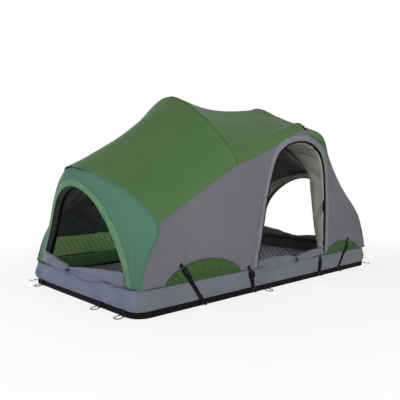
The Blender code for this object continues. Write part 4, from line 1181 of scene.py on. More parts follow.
def make_doorway_edges():
    """Hem band, zip tape and zip coil round each doorway, with two rows of stitches."""
    for key, outline_at, wall, facing, material, slot, width, thread, rests, steps in DOORWAYS:
        rings = [outline_at(0.0004 + (width - 0.0004) * k / HEM_ROWS, steps) for k in range(HEM_ROWS + 1)]

        def surface(r, c):
            point = wall(*rings[round(r * HEM_ROWS)][round(c * steps)])
            return point + facing(point) * (0.0016 + 0.0006 * math.sin(math.pi * r))

        sheet = grid_sheet(HEM_ROWS, steps, surface)
        item = new_piece(key + "_hem", sheet, material)
        area = as_cloth(item, facing, 0.0008, slot)
        cut_size(sheet)
        tape = on_wall(outline_at(0.002, 2 * steps), wall, facing, -0.0028)
        strip(key + "_zip_tape", tape, flat_profile(0.012, 0.0009), ZIP_BLACK)
        coil = on_wall(outline_at(0.0, 2 * steps), wall, facing, -0.0004)
        repeat_along(key + "_zip_coil", [coil], 0.0030, (0.0022, 0.0050, 0.0026), ZIP_BLACK)
        rows = [on_wall(outline_at(grow, 2 * steps), wall, facing, 0.0032) for grow in (0.012, width - 0.004)]
        repeat_along(key + "_hem_stitches", rows, 0.0060, HEM_STITCH, thread)


def make_seams():
    """Felled seams between the panels, each with two rows of stitches."""
    green, grey = [], []
    for name, start, stop, steps, material, rows in (
        ("seam_side_near", (0.0, 2.0), (3.0, 2.0), 300, SIDE_GREY, grey),
        ("seam_side_far", (0.0, 8.0), (3.0, 8.0), 300, SIDE_GREY, grey),
        ("seam_hoop_left", (1.0, 2.0), (1.0, 8.0), 160, ROOF_GREEN, green),
        ("seam_hoop_right", (2.0, 2.0), (2.0, 8.0), 160, ROOF_GREEN, green),
        # The end seams take the same teal of painted bluish light.
        ("seam_end_left", (0.0, 0.0), (0.0, 10.0), 220, END_GREEN_PAINTED_BLUE_LIGHT, green),
        ("seam_end_right", (3.0, 0.0), (3.0, 10.0), 220, END_GREEN_PAINTED_BLUE_LIGHT, green),
    ):
        line = on_fly(start, stop, steps, 0.0004)
        strip(name, line, flat_profile(0.0105, 0.0011), material)
        for offset in (-0.0034, 0.0034):
            rows.append([(point + out * 0.0011, out) for point, out in shifted(line, offset)])
    repeat_along("seam_stitches_green", green, 0.0065, SEAM_STITCH, THREAD_GREEN)
    repeat_along("seam_stitches_grey", grey, 0.0065, SEAM_STITCH, THREAD_GREY)


make_doorway_edges()
make_seams()


# Vents: half moons of gathered cloth with piping on the arc

PLEAT = 0.021


def make_vents():
    for name, vent in VENTS.items():
        side = name.split("_")[0]
        center, half, height = vent
        out = ACROSS * (-1.0 if side == "near" else 1.0)
        pleats = round(half / PLEAT)

        def surface(r, c):
            t = 2.0 * c - 1.0
            arc = max(0.0, 1.0 - t * t) ** VENT_ARC
            x = center + (half - 0.001) * t * (0.985 + 0.015 * r)
            z = FLY_FOOT + (height - 0.001) * arc * r
            lean = 0.075 * r * (1.0 - 0.25 * t)
            phase = 2.0 * math.pi * (pleats * (c + lean) + 0.35 * math.sin(9.0 * c))
            ridge = abs(math.sin(0.5 * phase)) ** 0.7 - 0.5
            swell = math.sin(math.pi * min(1.0, 0.12 + 0.88 * r)) * min(1.0, 3.0 * arc)
            depth = (0.0115 * ridge * (1.0 - 0.35 * r) + 0.0075) * swell * min(1.0, 5.0 * arc)
            return side_wall(side, x, z) + out * depth

        item = new_piece("vent_cloth_" + name, grid_sheet(26, pleats * 18, surface), VENT_GREEN)
        area = as_cloth(item, lambda p: out, 0.0006, "vent", ["vent_" + name])
        arc = [(side_wall(side, x, max(z, FLY_FOOT + 0.001)) + out * 0.0022, out) for x, z in vent_outline(vent, 90)]
        # The vent piping is dark to paint the shadow that the wall's rim casts on the arc.
        strip("vent_piping_" + name, arc, round_profile(0.0030, sides=10), PIPING_PAINTED_SHADOW)


make_vents()


# Tub: padded skirt, coated band and their trim

def tub_outline(steps):
    """Places round the tub's edge: point, outward direction and run from the start."""
    straight_x = LENGTH - 2 * CORNER_RADIUS
    straight_y = WIDTH - 2 * CORNER_RADIUS
    arc = math.pi * CORNER_RADIUS / 2
    total = 2 * (straight_x + straight_y) + 4 * arc
    places = []
    for i in range(steps):
        run = total * i / steps
        rest = run
        heading = 0.0
        corner = Vector((-straight_x / 2, -WIDTH / 2, 0.0))
        for side in (straight_x, straight_y, straight_x, straight_y):
            ahead = Vector((math.cos(heading), math.sin(heading), 0.0))
            out = Vector((ahead.y, -ahead.x, 0.0))
            if rest <= side:
                places.append((corner + ahead * rest, out, run))
                break
            rest -= side
            corner = corner + ahead * side
            if rest <= arc:
                turn = rest / CORNER_RADIUS
                direction = out * math.cos(turn) + ahead * math.sin(turn)
                places.append((corner + (direction - out) * CORNER_RADIUS, direction, run))
                break
            rest -= arc
            corner = corner + (ahead - out) * CORNER_RADIUS
            heading += math.pi / 2
    return places, total


def tub_ring(steps, place_at):
    """Closed line round the tub; place_at(point, out) gives its points."""
    places, _ = tub_outline(steps)
    return [(place_at(point, out), out) for point, out, _ in places]


def strap_press(point):
    """How much a strap holds the padding in at this place, from 0 to 1."""
    turn = 1.0 if point.y < 0 else -1.0
    most = 0.0
    for _, top_x, top_z, low_x in STRAPS:
        share = min(1.0, max(0.0, (top_z - point.z) / (top_z - BAND_HEIGHT / 2)))
        x = turn * (top_x + (low_x - top_x) * share)
        most = max(most, math.exp(-((point.x - x) / 0.024) ** 4))
    return most if abs(point.y) > 0.9 * WIDTH / 2 else 0.0


def ring_sheet(name, steps, rows, surface, materials, thickness, slot, nodes, width):
    """Closed band of cloth round the tub; surface(point, out, row share) gives its points."""
    places, total = tub_outline(steps)
    points = [surface(point, out, r / rows) for r in range(rows + 1) for point, out, _ in places + places[:1]]
    columns = steps + 1
    uv = []
    for r in range(rows + 1):
        for c in range(columns):
            k = r * columns + c
            height = uv[k - columns][1] + (points[k] - points[k - columns]).length if r else 0.0
            uv.append([places[c][2] if c < steps else total, height])
    item = new_piece(name, (points, grid_faces(rows, steps), uv), materials[0])
    if len(materials) > 1:
        item.data.materials.append(materials[1])
        # Faces at the ends take the second material: for the skirt, its copy with painted bluish light.
        ends = [1 if abs(out.x) > abs(out.y) else 0 for _, out, _ in places]
        item.data.polygons.foreach_set("material_index", ends * rows)
    as_cloth(item, lambda p: Vector((p.x / LENGTH, p.y / WIDTH, 0.0)), thickness, slot, nodes)
    width * total


RING_EDGE_NEAR = WIDTH / 2 - 0.110
RING_EDGE_FAR = WIDTH / 2 - 0.140
RING_MIDDLE = 0.265
RING_ROWS = (-RING_EDGE_NEAR, -RING_MIDDLE, RING_EDGE_FAR)


def skirt_point(point, out, share):
    z = SKIRT_FOOT + (SKIRT_TOP - SKIRT_FOOT) * share
    here = Vector((point.x, point.y, z))
    swell = math.sin(math.pi * share) ** 0.6
    press = strap_press(here)
    soft = ruck(0.0022, point.x * 5.0, point.y * 5.0, z * 14.0)
    tall = ruck(0.0016, point.x * 26.0, point.y * 26.0, z * 5.0 + 3.0)
    drawn = math.exp(-share / 0.10) + math.exp(-(1.0 - share) / 0.10)
    pucker = ruck(0.0011, point.x * 70.0, point.y * 70.0, z * 12.0 + 9.0) * drawn
    bulge = 0.0090 * (1.0 - press) + 0.0030 * press
    near_end = min(1.0, max(0.0, (abs(point.x) - (LENGTH / 2 - 0.16)) / 0.16))
    by_ring = max(math.exp(-((point.y * turn - y) / 0.042) ** 4)
                  for y in RING_ROWS for turn in (-1.0, 1.0) if turn * point.x < 0.0)
    bulge += 0.024 * near_end * near_end * math.sin(math.pi * share ** 0.75) * (1.0 - share) * (1.0 - by_ring)
    relief = (soft + tall) * swell + pucker
    return here + out * (bulge * swell - 0.0030 + (1.0 - press) * relief)


def band_point(point, out, share):
    z = 0.0012 + (BAND_HEIGHT - 0.0012) * share
    pucker = ruck(0.0004, point.x * 60.0, point.y * 60.0, 4.0)
    swell = math.sin(math.pi * share)
    return Vector((point.x, point.y, z)) + out * (0.0006 + (0.0016 + pucker) * swell)


def tub_corner(sign_x, sign_y):
    """Foot of a corner, and its outward direction."""
    out = Vector((sign_x, sign_y, 0.0)) * math.sqrt(0.5)
    center = Vector((sign_x * (LENGTH / 2 - CORNER_RADIUS), sign_y * (WIDTH / 2 - CORNER_RADIUS), 0.0))
    return center + out * CORNER_RADIUS, out


def make_tub():
    # The skirt's faces at the ends get its copy with painted bluish light.
    ring_sheet("padded_skirt", 900, 20, skirt_point, [SKIRT_GREY, SKIRT_GREY_PAINTED_BLUE_LIGHT], 0.0016, "skirt", ["skirt"], 0.118)
    ring_sheet("coated_band", 700, 8, band_point, [BAND_BLACK], 0.0010, "floor", [], 0.037)
    for name, inset, z, radius, material in (
        # The top piping is real piping, darkened to paint the shadow along the skirt's top seam.
        ("piping_top", 0.0020, SKIRT_TOP + 0.0008, 0.0032, PIPING_PAINTED_SHADOW),
        ("piping_low", 0.0002, SKIRT_FOOT, 0.0026, BAND_BLACK),
        ("piping_foot", 0.0010, 0.0026, 0.0024, BAND_BLACK),
    ):
        line = tub_ring(520, lambda point, out: Vector((point.x, point.y, z)) - out * inset)
        strip(name, line, round_profile(radius), material, loop=True)
    rows = []
    for share in (0.055, 0.93):
        line = tub_ring(900, lambda point, out: skirt_point(point, out, share) + out * 0.0002)
        rows.append(line + line[:1])
    repeat_along("skirt_stitches", rows, 0.0062, SKIRT_STITCH, THREAD_GREY)
    for end, sign_x in (("left", -1), ("right", 1)):
        for side, sign_y in (("near", -1), ("far", 1)):
            foot, out = tub_corner(sign_x, sign_y)
            line = [(skirt_point(foot, out, k / 12) + out * 0.0002, out) for k in range(13)]
            strip("corner_seam_%s_%s" % (end, side), line, flat_profile(0.009, 0.0012), SKIRT_GREY)


make_tub()


# Mattress

DIAMOND = 0.108
PAD_MIDDLE = UP * 0.036
PAD_FOOT = 0.0046
SWELL_STEPS = 20
SWELL_MOST = 0.007


def applied(item):
    """Replace the mesh by its modified one, drop the modifiers and give back its points."""
    made = evaluated(item)
    item.modifiers.clear()
    item.data = made
    points = np.zeros(len(made.vertices) * 3, np.float32)
    made.vertices.foreach_get("co", points)
    return points.reshape(-1, 3).astype(float)


def swell(item, start):
    """Fill the pad with air by simulation; no point moves from its start by more than a cap."""
    settings = item.modifiers.new("swell", "CLOTH").settings
    settings.use_pressure = True
    settings.uniform_pressure_force = 4.0
    settings.effector_weights.gravity = 0.0
    settings.quality = 4
    settings.tension_stiffness = 20.0
    for step in range(SWELL_STEPS):
        bpy.context.scene.frame_set(step + 1)
    change = applied(item) - start
    bpy.context.scene.frame_set(1)
    far = np.linalg.norm(change, axis=1)
    change *= np.minimum(1.0, SWELL_MOST / np.maximum(far, 1e-9))[:, None]
    set_points(item.data, start + change)


def make_mattress():
    """Quilted pad, swollen by simulation, then drawn in along its stitched diamonds."""
    item = linked("quilted_mattress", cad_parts["mattress"].data.copy())
    with editing(item.data) as shape:
        bmesh.ops.remove_doubles(shape, verts=shape.verts, dist=1e-5)
        for vert in shape.verts:
            vert.co = PAD_MIDDLE + (vert.co - PAD_MIDDLE) * 0.992
    remesh = item.modifiers.new("even", "REMESH")
    remesh.mode = "VOXEL"
    remesh.voxel_size = 0.015
    start = applied(item)
    swell(item, start)
    divide = item.modifiers.new("finer", "SUBSURF")
    divide.levels = 1
    divide.render_levels = 1
    points = applied(item)
    x, y, z = points.T
    channel = sum(np.exp(-(np.sin(np.pi * across / DIAMOND) / 0.20) ** 2) for across in (x + y, x - y))
    top = np.clip((z - 0.045) / 0.02, 0.0, 1.0)
    z = np.maximum(z - 0.0042 * np.minimum(channel, 1.3) * top, PAD_FOOT)
    set_points(item.data, np.stack([x, y, z], axis=1))
    item.data.materials.clear()
    item.data.materials.append(QUILT)
    set_uv(item.data, np.stack([x, y + 0.3 * (z - 0.07) * (z < 0.06)], axis=1))
    smooth_faces(item.data)
    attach(item, "tent")
    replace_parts(item, "mattress")


make_mattress()


# Inner tent

NET_WINDOW = [(-1.03, 0.168), (-1.03, 0.300), (-0.53, 0.300), (-0.53, 0.168)]
NET_HEIGHT = 0.090
NET_PLEAT = 0.017
END_MOUTHS = (("left", LEFT_DOOR, end_wall, left_out), ("right", RIGHT_DOOR, right_wall, right_out))
MOUTH_HEIGHT = 0.40


def inner_panel(name, sheet, material, node, folds, seed, facing, rests, soft=0.0050):
    item = new_piece("inner_" + name, sheet, material)
    flat, area = cut_of(sheet, area_of(item))
    raise_cloth(item, sheet[0], inner_lift(sheet[0], folds, seed, soft), facing)
    as_cloth(item, facing, 0.0006, "inner", ["inner_" + node])


def end_hung(r, c):
    """Point of the inner tent's left end; its lowest part falls straight behind the skirt."""
    low = 0.10
    point = end_point(2.0 * r - 1.0, 4.80 * max(0.0, c - low) / (1.0 - low))
    return point + inward(point) * INNER_GAP - UP * (max(0.0, low - c) / low * INNER_DROP)


def make_inner_tent():
    door = side_door_outline(FLY_FOOT - 0.2, 0.0, 60)
    for name, low in (("near_left", 0.0), ("near_right", 1.5)):
        sheet = grid_sheet(100, 60, lambda r, c: hung(low + 1.5 * r, -0.25 + 2.25 * c))
        sheet = trimmed(sheet, signed_gap(seen_from_side(sheet[0]), door))
        folds = creases(
            hung, (low + 1.2, 1.9, low + 1.35, 0.5, 0.022, 0.008), (low + 0.95, 1.8, low + 1.10, 0.4, 0.018, 0.007),
            (low + 0.30, 1.9, low + 0.10, 0.6, 0.020, 0.007))
        inner_panel(name, sheet, INNER_TAUPE, "wall_" + name, folds, 3, outward, HOOPS)
    sheet = grid_sheet(170, 60, lambda r, c: hung(3.0 * r, 10.25 - 2.25 * c))
    sheet = trimmed(sheet, signed_gap(seen_from_side(sheet[0]), NET_WINDOW))
    folds = creases(
        hung, (0.15, 8.2, 0.75, 9.3, 0.026, 0.011), (0.30, 8.1, 0.95, 9.0, 0.022, 0.010),
        (1.10, 8.2, 0.80, 9.6, 0.024, 0.010), (1.40, 8.1, 1.65, 9.7, 0.020, 0.009),
        (2.10, 8.1, 2.20, 9.6, 0.022, 0.009))
    # The far wall takes the inner cloth painted in shade.
    inner_panel("far", sheet, INNER_CLOTH_PAINTED_SHADE, "wall_far", folds, 5, outward, HOOPS)
    sheet = grid_sheet(160, 96, lambda r, c: hung(3.0 * r, 2.0 + 6.0 * c))
    near = np.array([p.y < -0.3 for p in sheet[0]])
    sheet = trimmed(sheet, np.where(near, signed_gap(seen_from_side(sheet[0]), door), 1.0))
    folds = []
    for corner, bay, ends in (((1.0, 5.0), 0.1, (6.5, 7.2, 7.9, 3.6)), ((2.0, 5.0), 1.2, (6.0, 7.0, 3.8)),
                              ((2.0, 5.2), 2.9, (6.0, 7.0, 3.8))):
        folds += fan(hung(*corner), [hung(bay, p) for p in ends], 0.030, 0.012)
    # The ceiling takes the inner cloth painted in shade.
    inner_panel("top", sheet, INNER_CLOTH_PAINTED_SHADE, "ceiling", folds, 7, outward, HOOPS)
    # The left end's inner wall is painted in shade; the right one keeps the lit taupe.
    for (side, door, _, facing), material in zip(END_MOUTHS, (INNER_CLOTH_PAINTED_SHADE, INNER_TAUPE)):
        sheet = grid_sheet(90, 64, end_hung)
        sheet = trimmed(sheet, signed_gap(seen_from_end(sheet[0]), end_door_outline(door, FLY_FOOT - 0.2, 0.0, 60)))
        if side == "right":
            sheet = (flipped(sheet[0], -1, -1),) + sheet[1:]
        inner_panel(side, sheet, material, "wall_" + side, [], 9, facing, ["end_pole_" + side], 0.0035)


def make_net():
    """Net window in the far wall and the gathered net along the foot of the inner walls."""
    (x_low, z_low), (_, z_high), (x_high, _), _ = NET_WINDOW
    tall = z_high - z_low + 0.016

    def window(r, c):
        wall = side_wall("far", x_low - 0.012 + (x_high - x_low + 0.024) * r, z_low - 0.008 + tall * c)
        gather = abs(math.sin(math.pi * (13.0 * r + 2.4 * c))) ** 0.5 * 0.013 * math.sin(math.pi * c) ** 0.6
        return wall + inward(wall) * (INNER_GAP - 0.001 + gather)

    # The net window's pale green is painted light from the daylight shining through.
    item = new_piece("net_window", grid_sheet(260, 14, window), WINDOW_GREEN_PAINTED_GLOW)
    area = as_cloth(item, outward, None, "inner")
    for name, x, y, out, length in (
        ("far", -1.02, 0.548, -ACROSS, 2.04), ("near_left", -1.02, -0.548, ACROSS, 0.76),
        ("near_right", 0.57, -0.548, ACROSS, 0.45),
    ):
        count = round(length / NET_PLEAT)

        def ruffle(r, c):
            wave = math.sin(2.0 * math.pi * count * r + 0.9 * math.sin(11.0 * r))
            push = 0.004 + 0.0045 * (1.0 - 0.5 * c) * wave
            return Vector((x + length * r, y, 0.072 + NET_HEIGHT * c)) + out * push

        item = new_piece("net_ruffle_" + name, grid_sheet(count * 8, 5, ruffle), NET_GREEN)
        area = as_cloth(item, lambda p: out, 0.0005, "inner")


def make_bindings():
    """Dark binding on the mouths of the end linings, inside the tent."""
    for name, door, wall, facing in END_MOUTHS:
        line = []
        for place in end_door_outline(door, FLY_FOOT, 0.0, 140):
            point = wall(*place) - facing(None) * (INNER_GAP + 0.006)
            line.append((point, (Vector((point.x, 0.0, MOUTH_HEIGHT)) - point).normalized()))
        strip("inner_binding_" + name, line, flat_profile(0.024, 0.0022), ZIP_BLACK)


def make_sills():
    """Inner cloth behind the skirt, under each doorway."""
    end_x = LENGTH / 2 - 0.032
    side_y = WIDTH / 2 - 0.032
    for name, start, stop, out in (
        ("side", (SIDE_DOOR_LEFT_X - 0.03, -side_y), (SIDE_DOOR_RIGHT_X + 0.03, -side_y), ACROSS),
        ("left", (-end_x, 0.47), (-end_x, -0.47), ALONG),
        ("right", (end_x, -0.47), (end_x, 0.47), -ALONG),
    ):
        foot = Vector((*start, 0.030))
        along = Vector((*stop, 0.030)) - foot

        def surface(r, c):
            push = ruck(0.005, r * 9.0, c * 2.0, 6.0) + ruck(0.002, r * 30.0, c * 3.0, 1.0)
            return foot + along * r + out * (push + 0.006) + UP * (0.130 * c)

        # The sills take the inner cloth painted in shade.
        item = new_piece("inner_sill_" + name, grid_sheet(120, 14, surface), INNER_CLOTH_PAINTED_SHADE)
        as_cloth(item, lambda p: out, 0.0006, "inner")


make_sills()
make_inner_tent()
make_net()
make_bindings()


# Linings of the doorways, from the fly's edge in to the inner tent

LINING_STEPS = 200
LINING_FOLDS = (
    # place along the edge, slant, width, height
    (0.455, 0.020, 0.0070, 0.009), (0.480, 0.012, 0.0060, 0.008), (0.505, 0.008, 0.0075, 0.010),
    (0.535, -0.006, 0.0065, 0.009), (0.565, -0.014, 0.0075, 0.008), (0.610, -0.030, 0.0090, 0.010),
    (0.680, -0.050, 0.0100, 0.010), (0.760, -0.030, 0.0120, 0.008), (0.850, 0.030, 0.0120, 0.009),
)
LINING_REACH = (
    (0.0, 0.050), (0.28, 0.060), (0.42, 0.150), (0.54, 0.260), (0.66, 0.235), (0.78, 0.135), (1.0, 0.060))


def smooth_between(t, marks):
    """Value at t through (share, value) marks, smooth between them."""
    for (t0, v0), (t1, v1) in zip(marks, marks[1:]):
        if t <= t1:
            s = min(1.0, max(0.0, (t - t0) / (t1 - t0)))
            s = s * s * (3.0 - 2.0 * s)
            return v0 + (v1 - v0) * s
    return marks[-1][1]


def from_middle(point):
    """Direction away from the middle of the side doorway."""
    return (point - Vector((0.16, point.y, 0.45))).normalized()


def make_door_lining():
    """Gusset cloth all round the side doorway, wrinkled across its width."""
    outer, inner = [], []
    for k, place in enumerate(side_door_outline(FLY_FOOT, 0.0, LINING_STEPS)):
        edge = near_wall(*place)
        held = wall_at(hung, *place, 0.002, 14, 0.02, 4.6)
        least = edge.y + smooth_between(k / LINING_STEPS, LINING_REACH)
        outer.append(edge)
        inner.append(Vector((edge.x, max(held.y, least), edge.z)))

    def surface(r, c):
        k = round(c * LINING_STEPS)
        depth = (inner[k] - outer[k]).length
        point = outer[k].lerp(inner[k], 0.01 + 0.98 * r)
        push = ruck(0.006, c * 46.0, r * 1.6, 2.0) - 0.017 + ruck(0.004, c * 15.0, r * 3.0, 7.0)
        for at, slant, width, rise in LINING_FOLDS:
            gap = (c - at - slant * (r - 0.5)) / width
            push += 2.1 * rise * math.exp(-gap * gap) * min(1.0, 2.0 * r)
        return point + from_middle(point) * (push * min(1.0, r * depth / 0.010, 3.0 * (1.0 - r)))

    sheet = grid_sheet(16, LINING_STEPS, surface)
    item = new_piece("side_door_lining", sheet, INNER_TAUPE)
    area = as_cloth(item, lambda p: -from_middle(p), 0.0006, "inner", offset=1.0)
    flat, area = cut_of(sheet, area)
    # Black binding inside the doorway's edge; its dark band also paints the shadow there.
    line = [(p + ACROSS * 0.009 - from_middle(p) * 0.0105, -from_middle(p)) for p in outer]
    strip("side_door_binding_painted_shadow", line, flat_profile(0.024, 0.0082, -0.0060), ZIP_BLACK)


def make_end_linings():
    """Sleeve of cloth from each end doorway of the fly in to the inner tent."""
    for side, door, wall, facing in END_MOUTHS:
        outline = end_door_outline(door, FLY_FOOT, 0.0, 120)
        last = len(outline) - 1

        def surface(r, c):
            point = wall(*outline[round(c * last)])
            push = ruck(0.0030, c * 30.0, r * 2.0, 5.0) * math.sin(math.pi * r)
            away = (point - Vector((point.x, 0.0, MOUTH_HEIGHT))).normalized()
            return point - facing(point) * (0.0006 + (INNER_GAP + 0.010) * r) + away * (0.0008 + push)

        # The end linings take the inner cloth painted in shade.
        item = new_piece("end_lining_" + side, grid_sheet(8, last, surface), INNER_CLOTH_PAINTED_SHADE)
        area = as_cloth(item, lambda p: Vector((0.0, -p.y, MOUTH_HEIGHT - p.z)), 0.0006, "inner", offset=1.0)


make_door_lining()
make_end_linings()


# Open doors, gathered and tied over their sills

DOOR_COLUMNS = 200


def outline_area(outline):
    """Area inside a closed outline."""
    return abs(sum(a[0] * b[1] - b[0] * a[1] for a, b in zip(outline, outline[1:] + outline[:1]))) / 2


def barrel(name, stations, material, body="tent", sides=14):
    """Round piece through stations of (point, facing, radius), closed at both ends."""
    path = [point for point, _, _ in stations]
    points = []
    for i, (point, facing, radius) in enumerate(stations):
        before, after = neighbours(path, i)
        along = (after - before).normalized()
        up = (facing - along * facing.dot(along)).normalized()
        across = along.cross(up)
        points += [point + across * a + up * b for a, b in round_profile(radius, sides=sides)]
    faces = closed_rings(len(stations), sides, False)
    item = new_piece(name, (points, faces, [[p.x, p.z] for p in points]), material)
    face_out(item)
    bevel = item.modifiers.new("soft_edges", "BEVEL")
    bevel.width = 0.0004
    bevel.segments = 2
    bevel.limit_method = "ANGLE"
    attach(item, body)
    return item


def gathered_door(name, start, end, out, waist, tops, lows, layers, gap, material, node, cut, seed):
    """Door cloth folded up on its sill: layers one behind the other, drawn together at the tie.

    cut is the doorway's outline, which gives the size of the cloth before it was gathered."""
    along = end - start

    def surface(r, c):
        tie = math.exp(-((c - waist) / 0.055) ** 2)
        near_tie = math.exp(-((c - waist) / 0.17) ** 2)
        top = smooth_between(c, tops)
        low = smooth_between(c, lows)
        ends = min(1.0, 0.15 + c / 0.08, 0.15 + (1.0 - c) / 0.10)
        swing = abs((r * layers) % 2.0 - 1.0)
        swing = 0.5 - 0.5 * math.cos(math.pi * swing) * 0.35 - 0.5 * (1.0 - 2.0 * swing) * 0.65
        height = low + (top - low) * swing
        fold = math.sin(math.pi * (2.6 * swing + 0.5 * math.sin(4.0 * c + seed) * (1.0 - tie)) + seed)
        fine = math.sin(math.pi * (7.0 * swing + 0.8 * math.sin(6.0 * c + 2.0 * seed)))
        relief = (0.0034 + 0.0036 * near_tie) * fold + 0.0012 * near_tie * fine
        droop = math.sin(2.0 * math.pi * (c * 3.3 + 0.22 * math.sin(5.0 * c + seed) + 0.5 * swing))
        relief += 0.0060 * droop * (1.0 - tie) * ends * (0.35 + 0.65 * (1.0 - swing))
        relief += ruck(0.0045, c * 7.0 + seed, swing * 1.4, seed) * (1.0 - tie)
        hump = 0.0050 * math.sin(math.pi * swing) * ends
        flare = 0.0065 - 0.25 * height if height < 0.0 else 0.0
        tuck = min(1.0, c / 0.09, (1.0 - c) / 0.09)
        depth = -0.0070 + 0.0150 * tuck - gap * r * layers * (1.0 - 0.25 * tie) * ends
        return start + along * c + UP * height + out * (depth + hump + relief + flare)

    item = new_piece(name, grid_sheet(layers * 12, DOOR_COLUMNS, surface), material)
    as_cloth(item, lambda p: out, 0.0009, "door", [node], first=DOOR_COLUMNS * 11)
    outline_area(cut)
    top, low = smooth_between(waist, tops), smooth_between(waist, lows)
    half = 0.375 * gap * layers
    center = start + along * waist + UP * (top + low) / 2 + out * (0.0080 - half)
    step = along.normalized()
    deep, tall = half + 0.0085, (top - low) / 2 + 0.0035
    for k, shift in enumerate((-0.0022, 0.0022)):
        ring = [(center + out * (deep * a) + UP * (tall * b) + step * shift, out * a + UP * b)
                for a, b in round_profile(1.0, sides=28)]
        strip("%s_tie_%d" % (name, k + 1), ring, round_profile(0.0019), CORD_BLACK, loop=True)
    knot = center + out * (half + 0.0125) + UP * 0.002
    barrel(name + "_toggle", [(knot + step * (-0.011 + 0.0055 * k), out, radius)
                              for k, radius in enumerate((0.0030, 0.0052, 0.0056, 0.0052, 0.0030))], PLASTIC)
    for k, lean in enumerate((-0.5, 0.4)):
        tail = [(knot + step * (lean * 0.040 * t) - UP * (0.034 * t) + out * (0.004 * math.sin(3 * t)), out)
                for t in np.linspace(0.0, 1.0, 9)]
        strip("%s_tail_%d" % (name, k + 1), tail, round_profile(0.0015, sides=7), CORD_BLACK)


def make_doors():
    z = FLY_FOOT
    line = WIDTH / 2 - FLY_MARGIN - 0.002
    gathered_door(
        "gathered_door_side",
        Vector((SIDE_DOOR_LEFT_X - 0.008, -line, z)), Vector((SIDE_DOOR_RIGHT_X + 0.012, -line, z)), -ACROSS, 0.52,
        ((0.0, 0.044), (0.20, 0.052), (0.42, 0.044), (0.52, 0.032), (0.60, 0.040), (0.85, 0.054), (1.0, 0.060)),
        ((0.0, -0.014), (0.14, -0.026), (0.34, -0.016), (0.52, 0.004), (0.66, 0.000), (1.0, 0.004)),
        9, 0.0026, DOOR_CLOTH, "side_door", side_door_outline(FLY_FOOT), 1.0,
    )
    reach = LENGTH / 2 - FLY_MARGIN - 0.002
    for side, sign, door, share, material in (
        # The left door takes the copy of the door cloth with painted bluish light.
        ("left", -1, LEFT_DOOR, 0.955, DOOR_CLOTH_PAINTED_BLUE_LIGHT), ("right", 1, RIGHT_DOOR, 0.99, DOOR_CLOTH),
    ):
        half = share * door[0]
        gathered_door(
            "gathered_door_" + side,
            Vector((sign * reach, -half, z)), Vector((sign * reach, half, z)), ALONG * sign, 0.60,
            ((0.0, 0.074), (0.20, 0.066), (0.42, 0.048), (0.60, 0.030), (0.70, 0.046), (0.85, 0.072), (1.0, 0.090)),
            ((0.0, -0.004), (0.35, -0.012), (0.52, -0.002), (0.60, 0.004), (0.75, -0.004), (1.0, 0.006)),
            7, 0.0030, material, "end_door_" + side, end_door_outline(door, FLY_FOOT), 2.4 + sign,
        )
    roll = []
    for k in range(61):
        t = k / 60
        place = Vector((1.088, -0.42 + 0.84 * t, 0.168 + ruck(0.010, t * 5.0, 3.0, 0.0)))
        roll.append((place, Vector((-0.6, 0.0, 0.8)), 0.013 + ruck(0.004, t * 9.0, 1.0, 4.0)))
    # The rolled inner door takes the inner cloth painted in shade.
    barrel("right_door_inner_roll", roll, INNER_CLOTH_PAINTED_SHADE, sides=18)


make_doors()


# Straps, buckles and hooks

BUCKLE_LENGTH = 0.042
HOOK_SHAPE = ((0.0, 0.0), (0.0025, -0.0060), (0.0150, -0.0092), (0.0245, -0.0060), (0.0265, 0.0050))


def hard_piece(name, bars, body="tent", material=PLASTIC):
    """One moulded piece from softly edged bars: (middle, (three axes), (three sizes), softness)."""
    mesh = bpy.data.meshes.new(name)
    with editing(mesh) as shape:
        for middle, axes, sizes, soft in bars:
            rows = [axis * size for axis, size in zip(axes, sizes)]
            corners = bmesh.ops.create_cube(shape, size=1.0)["verts"]
            for vert in corners:
                x, y, z = vert.co
                vert.co = middle + rows[0] * x + rows[1] * y + rows[2] * z
            edges = {edge for vert in corners for edge in vert.link_edges}
            bmesh.ops.bevel(shape, geom=list(edges), offset=soft, segments=3, profile=0.6, affect="EDGES")
        bmesh.ops.recalc_face_normals(shape, faces=shape.faces)
    mesh.materials.append(material)
    smooth_faces(mesh)
    item = linked(name, mesh)
    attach(item, body)
    return item


def turned(vector, turn):
    """The vector as it is, or turned half round the upright where turn is -1."""
    return Vector((vector.x * turn, vector.y * turn, vector.z))


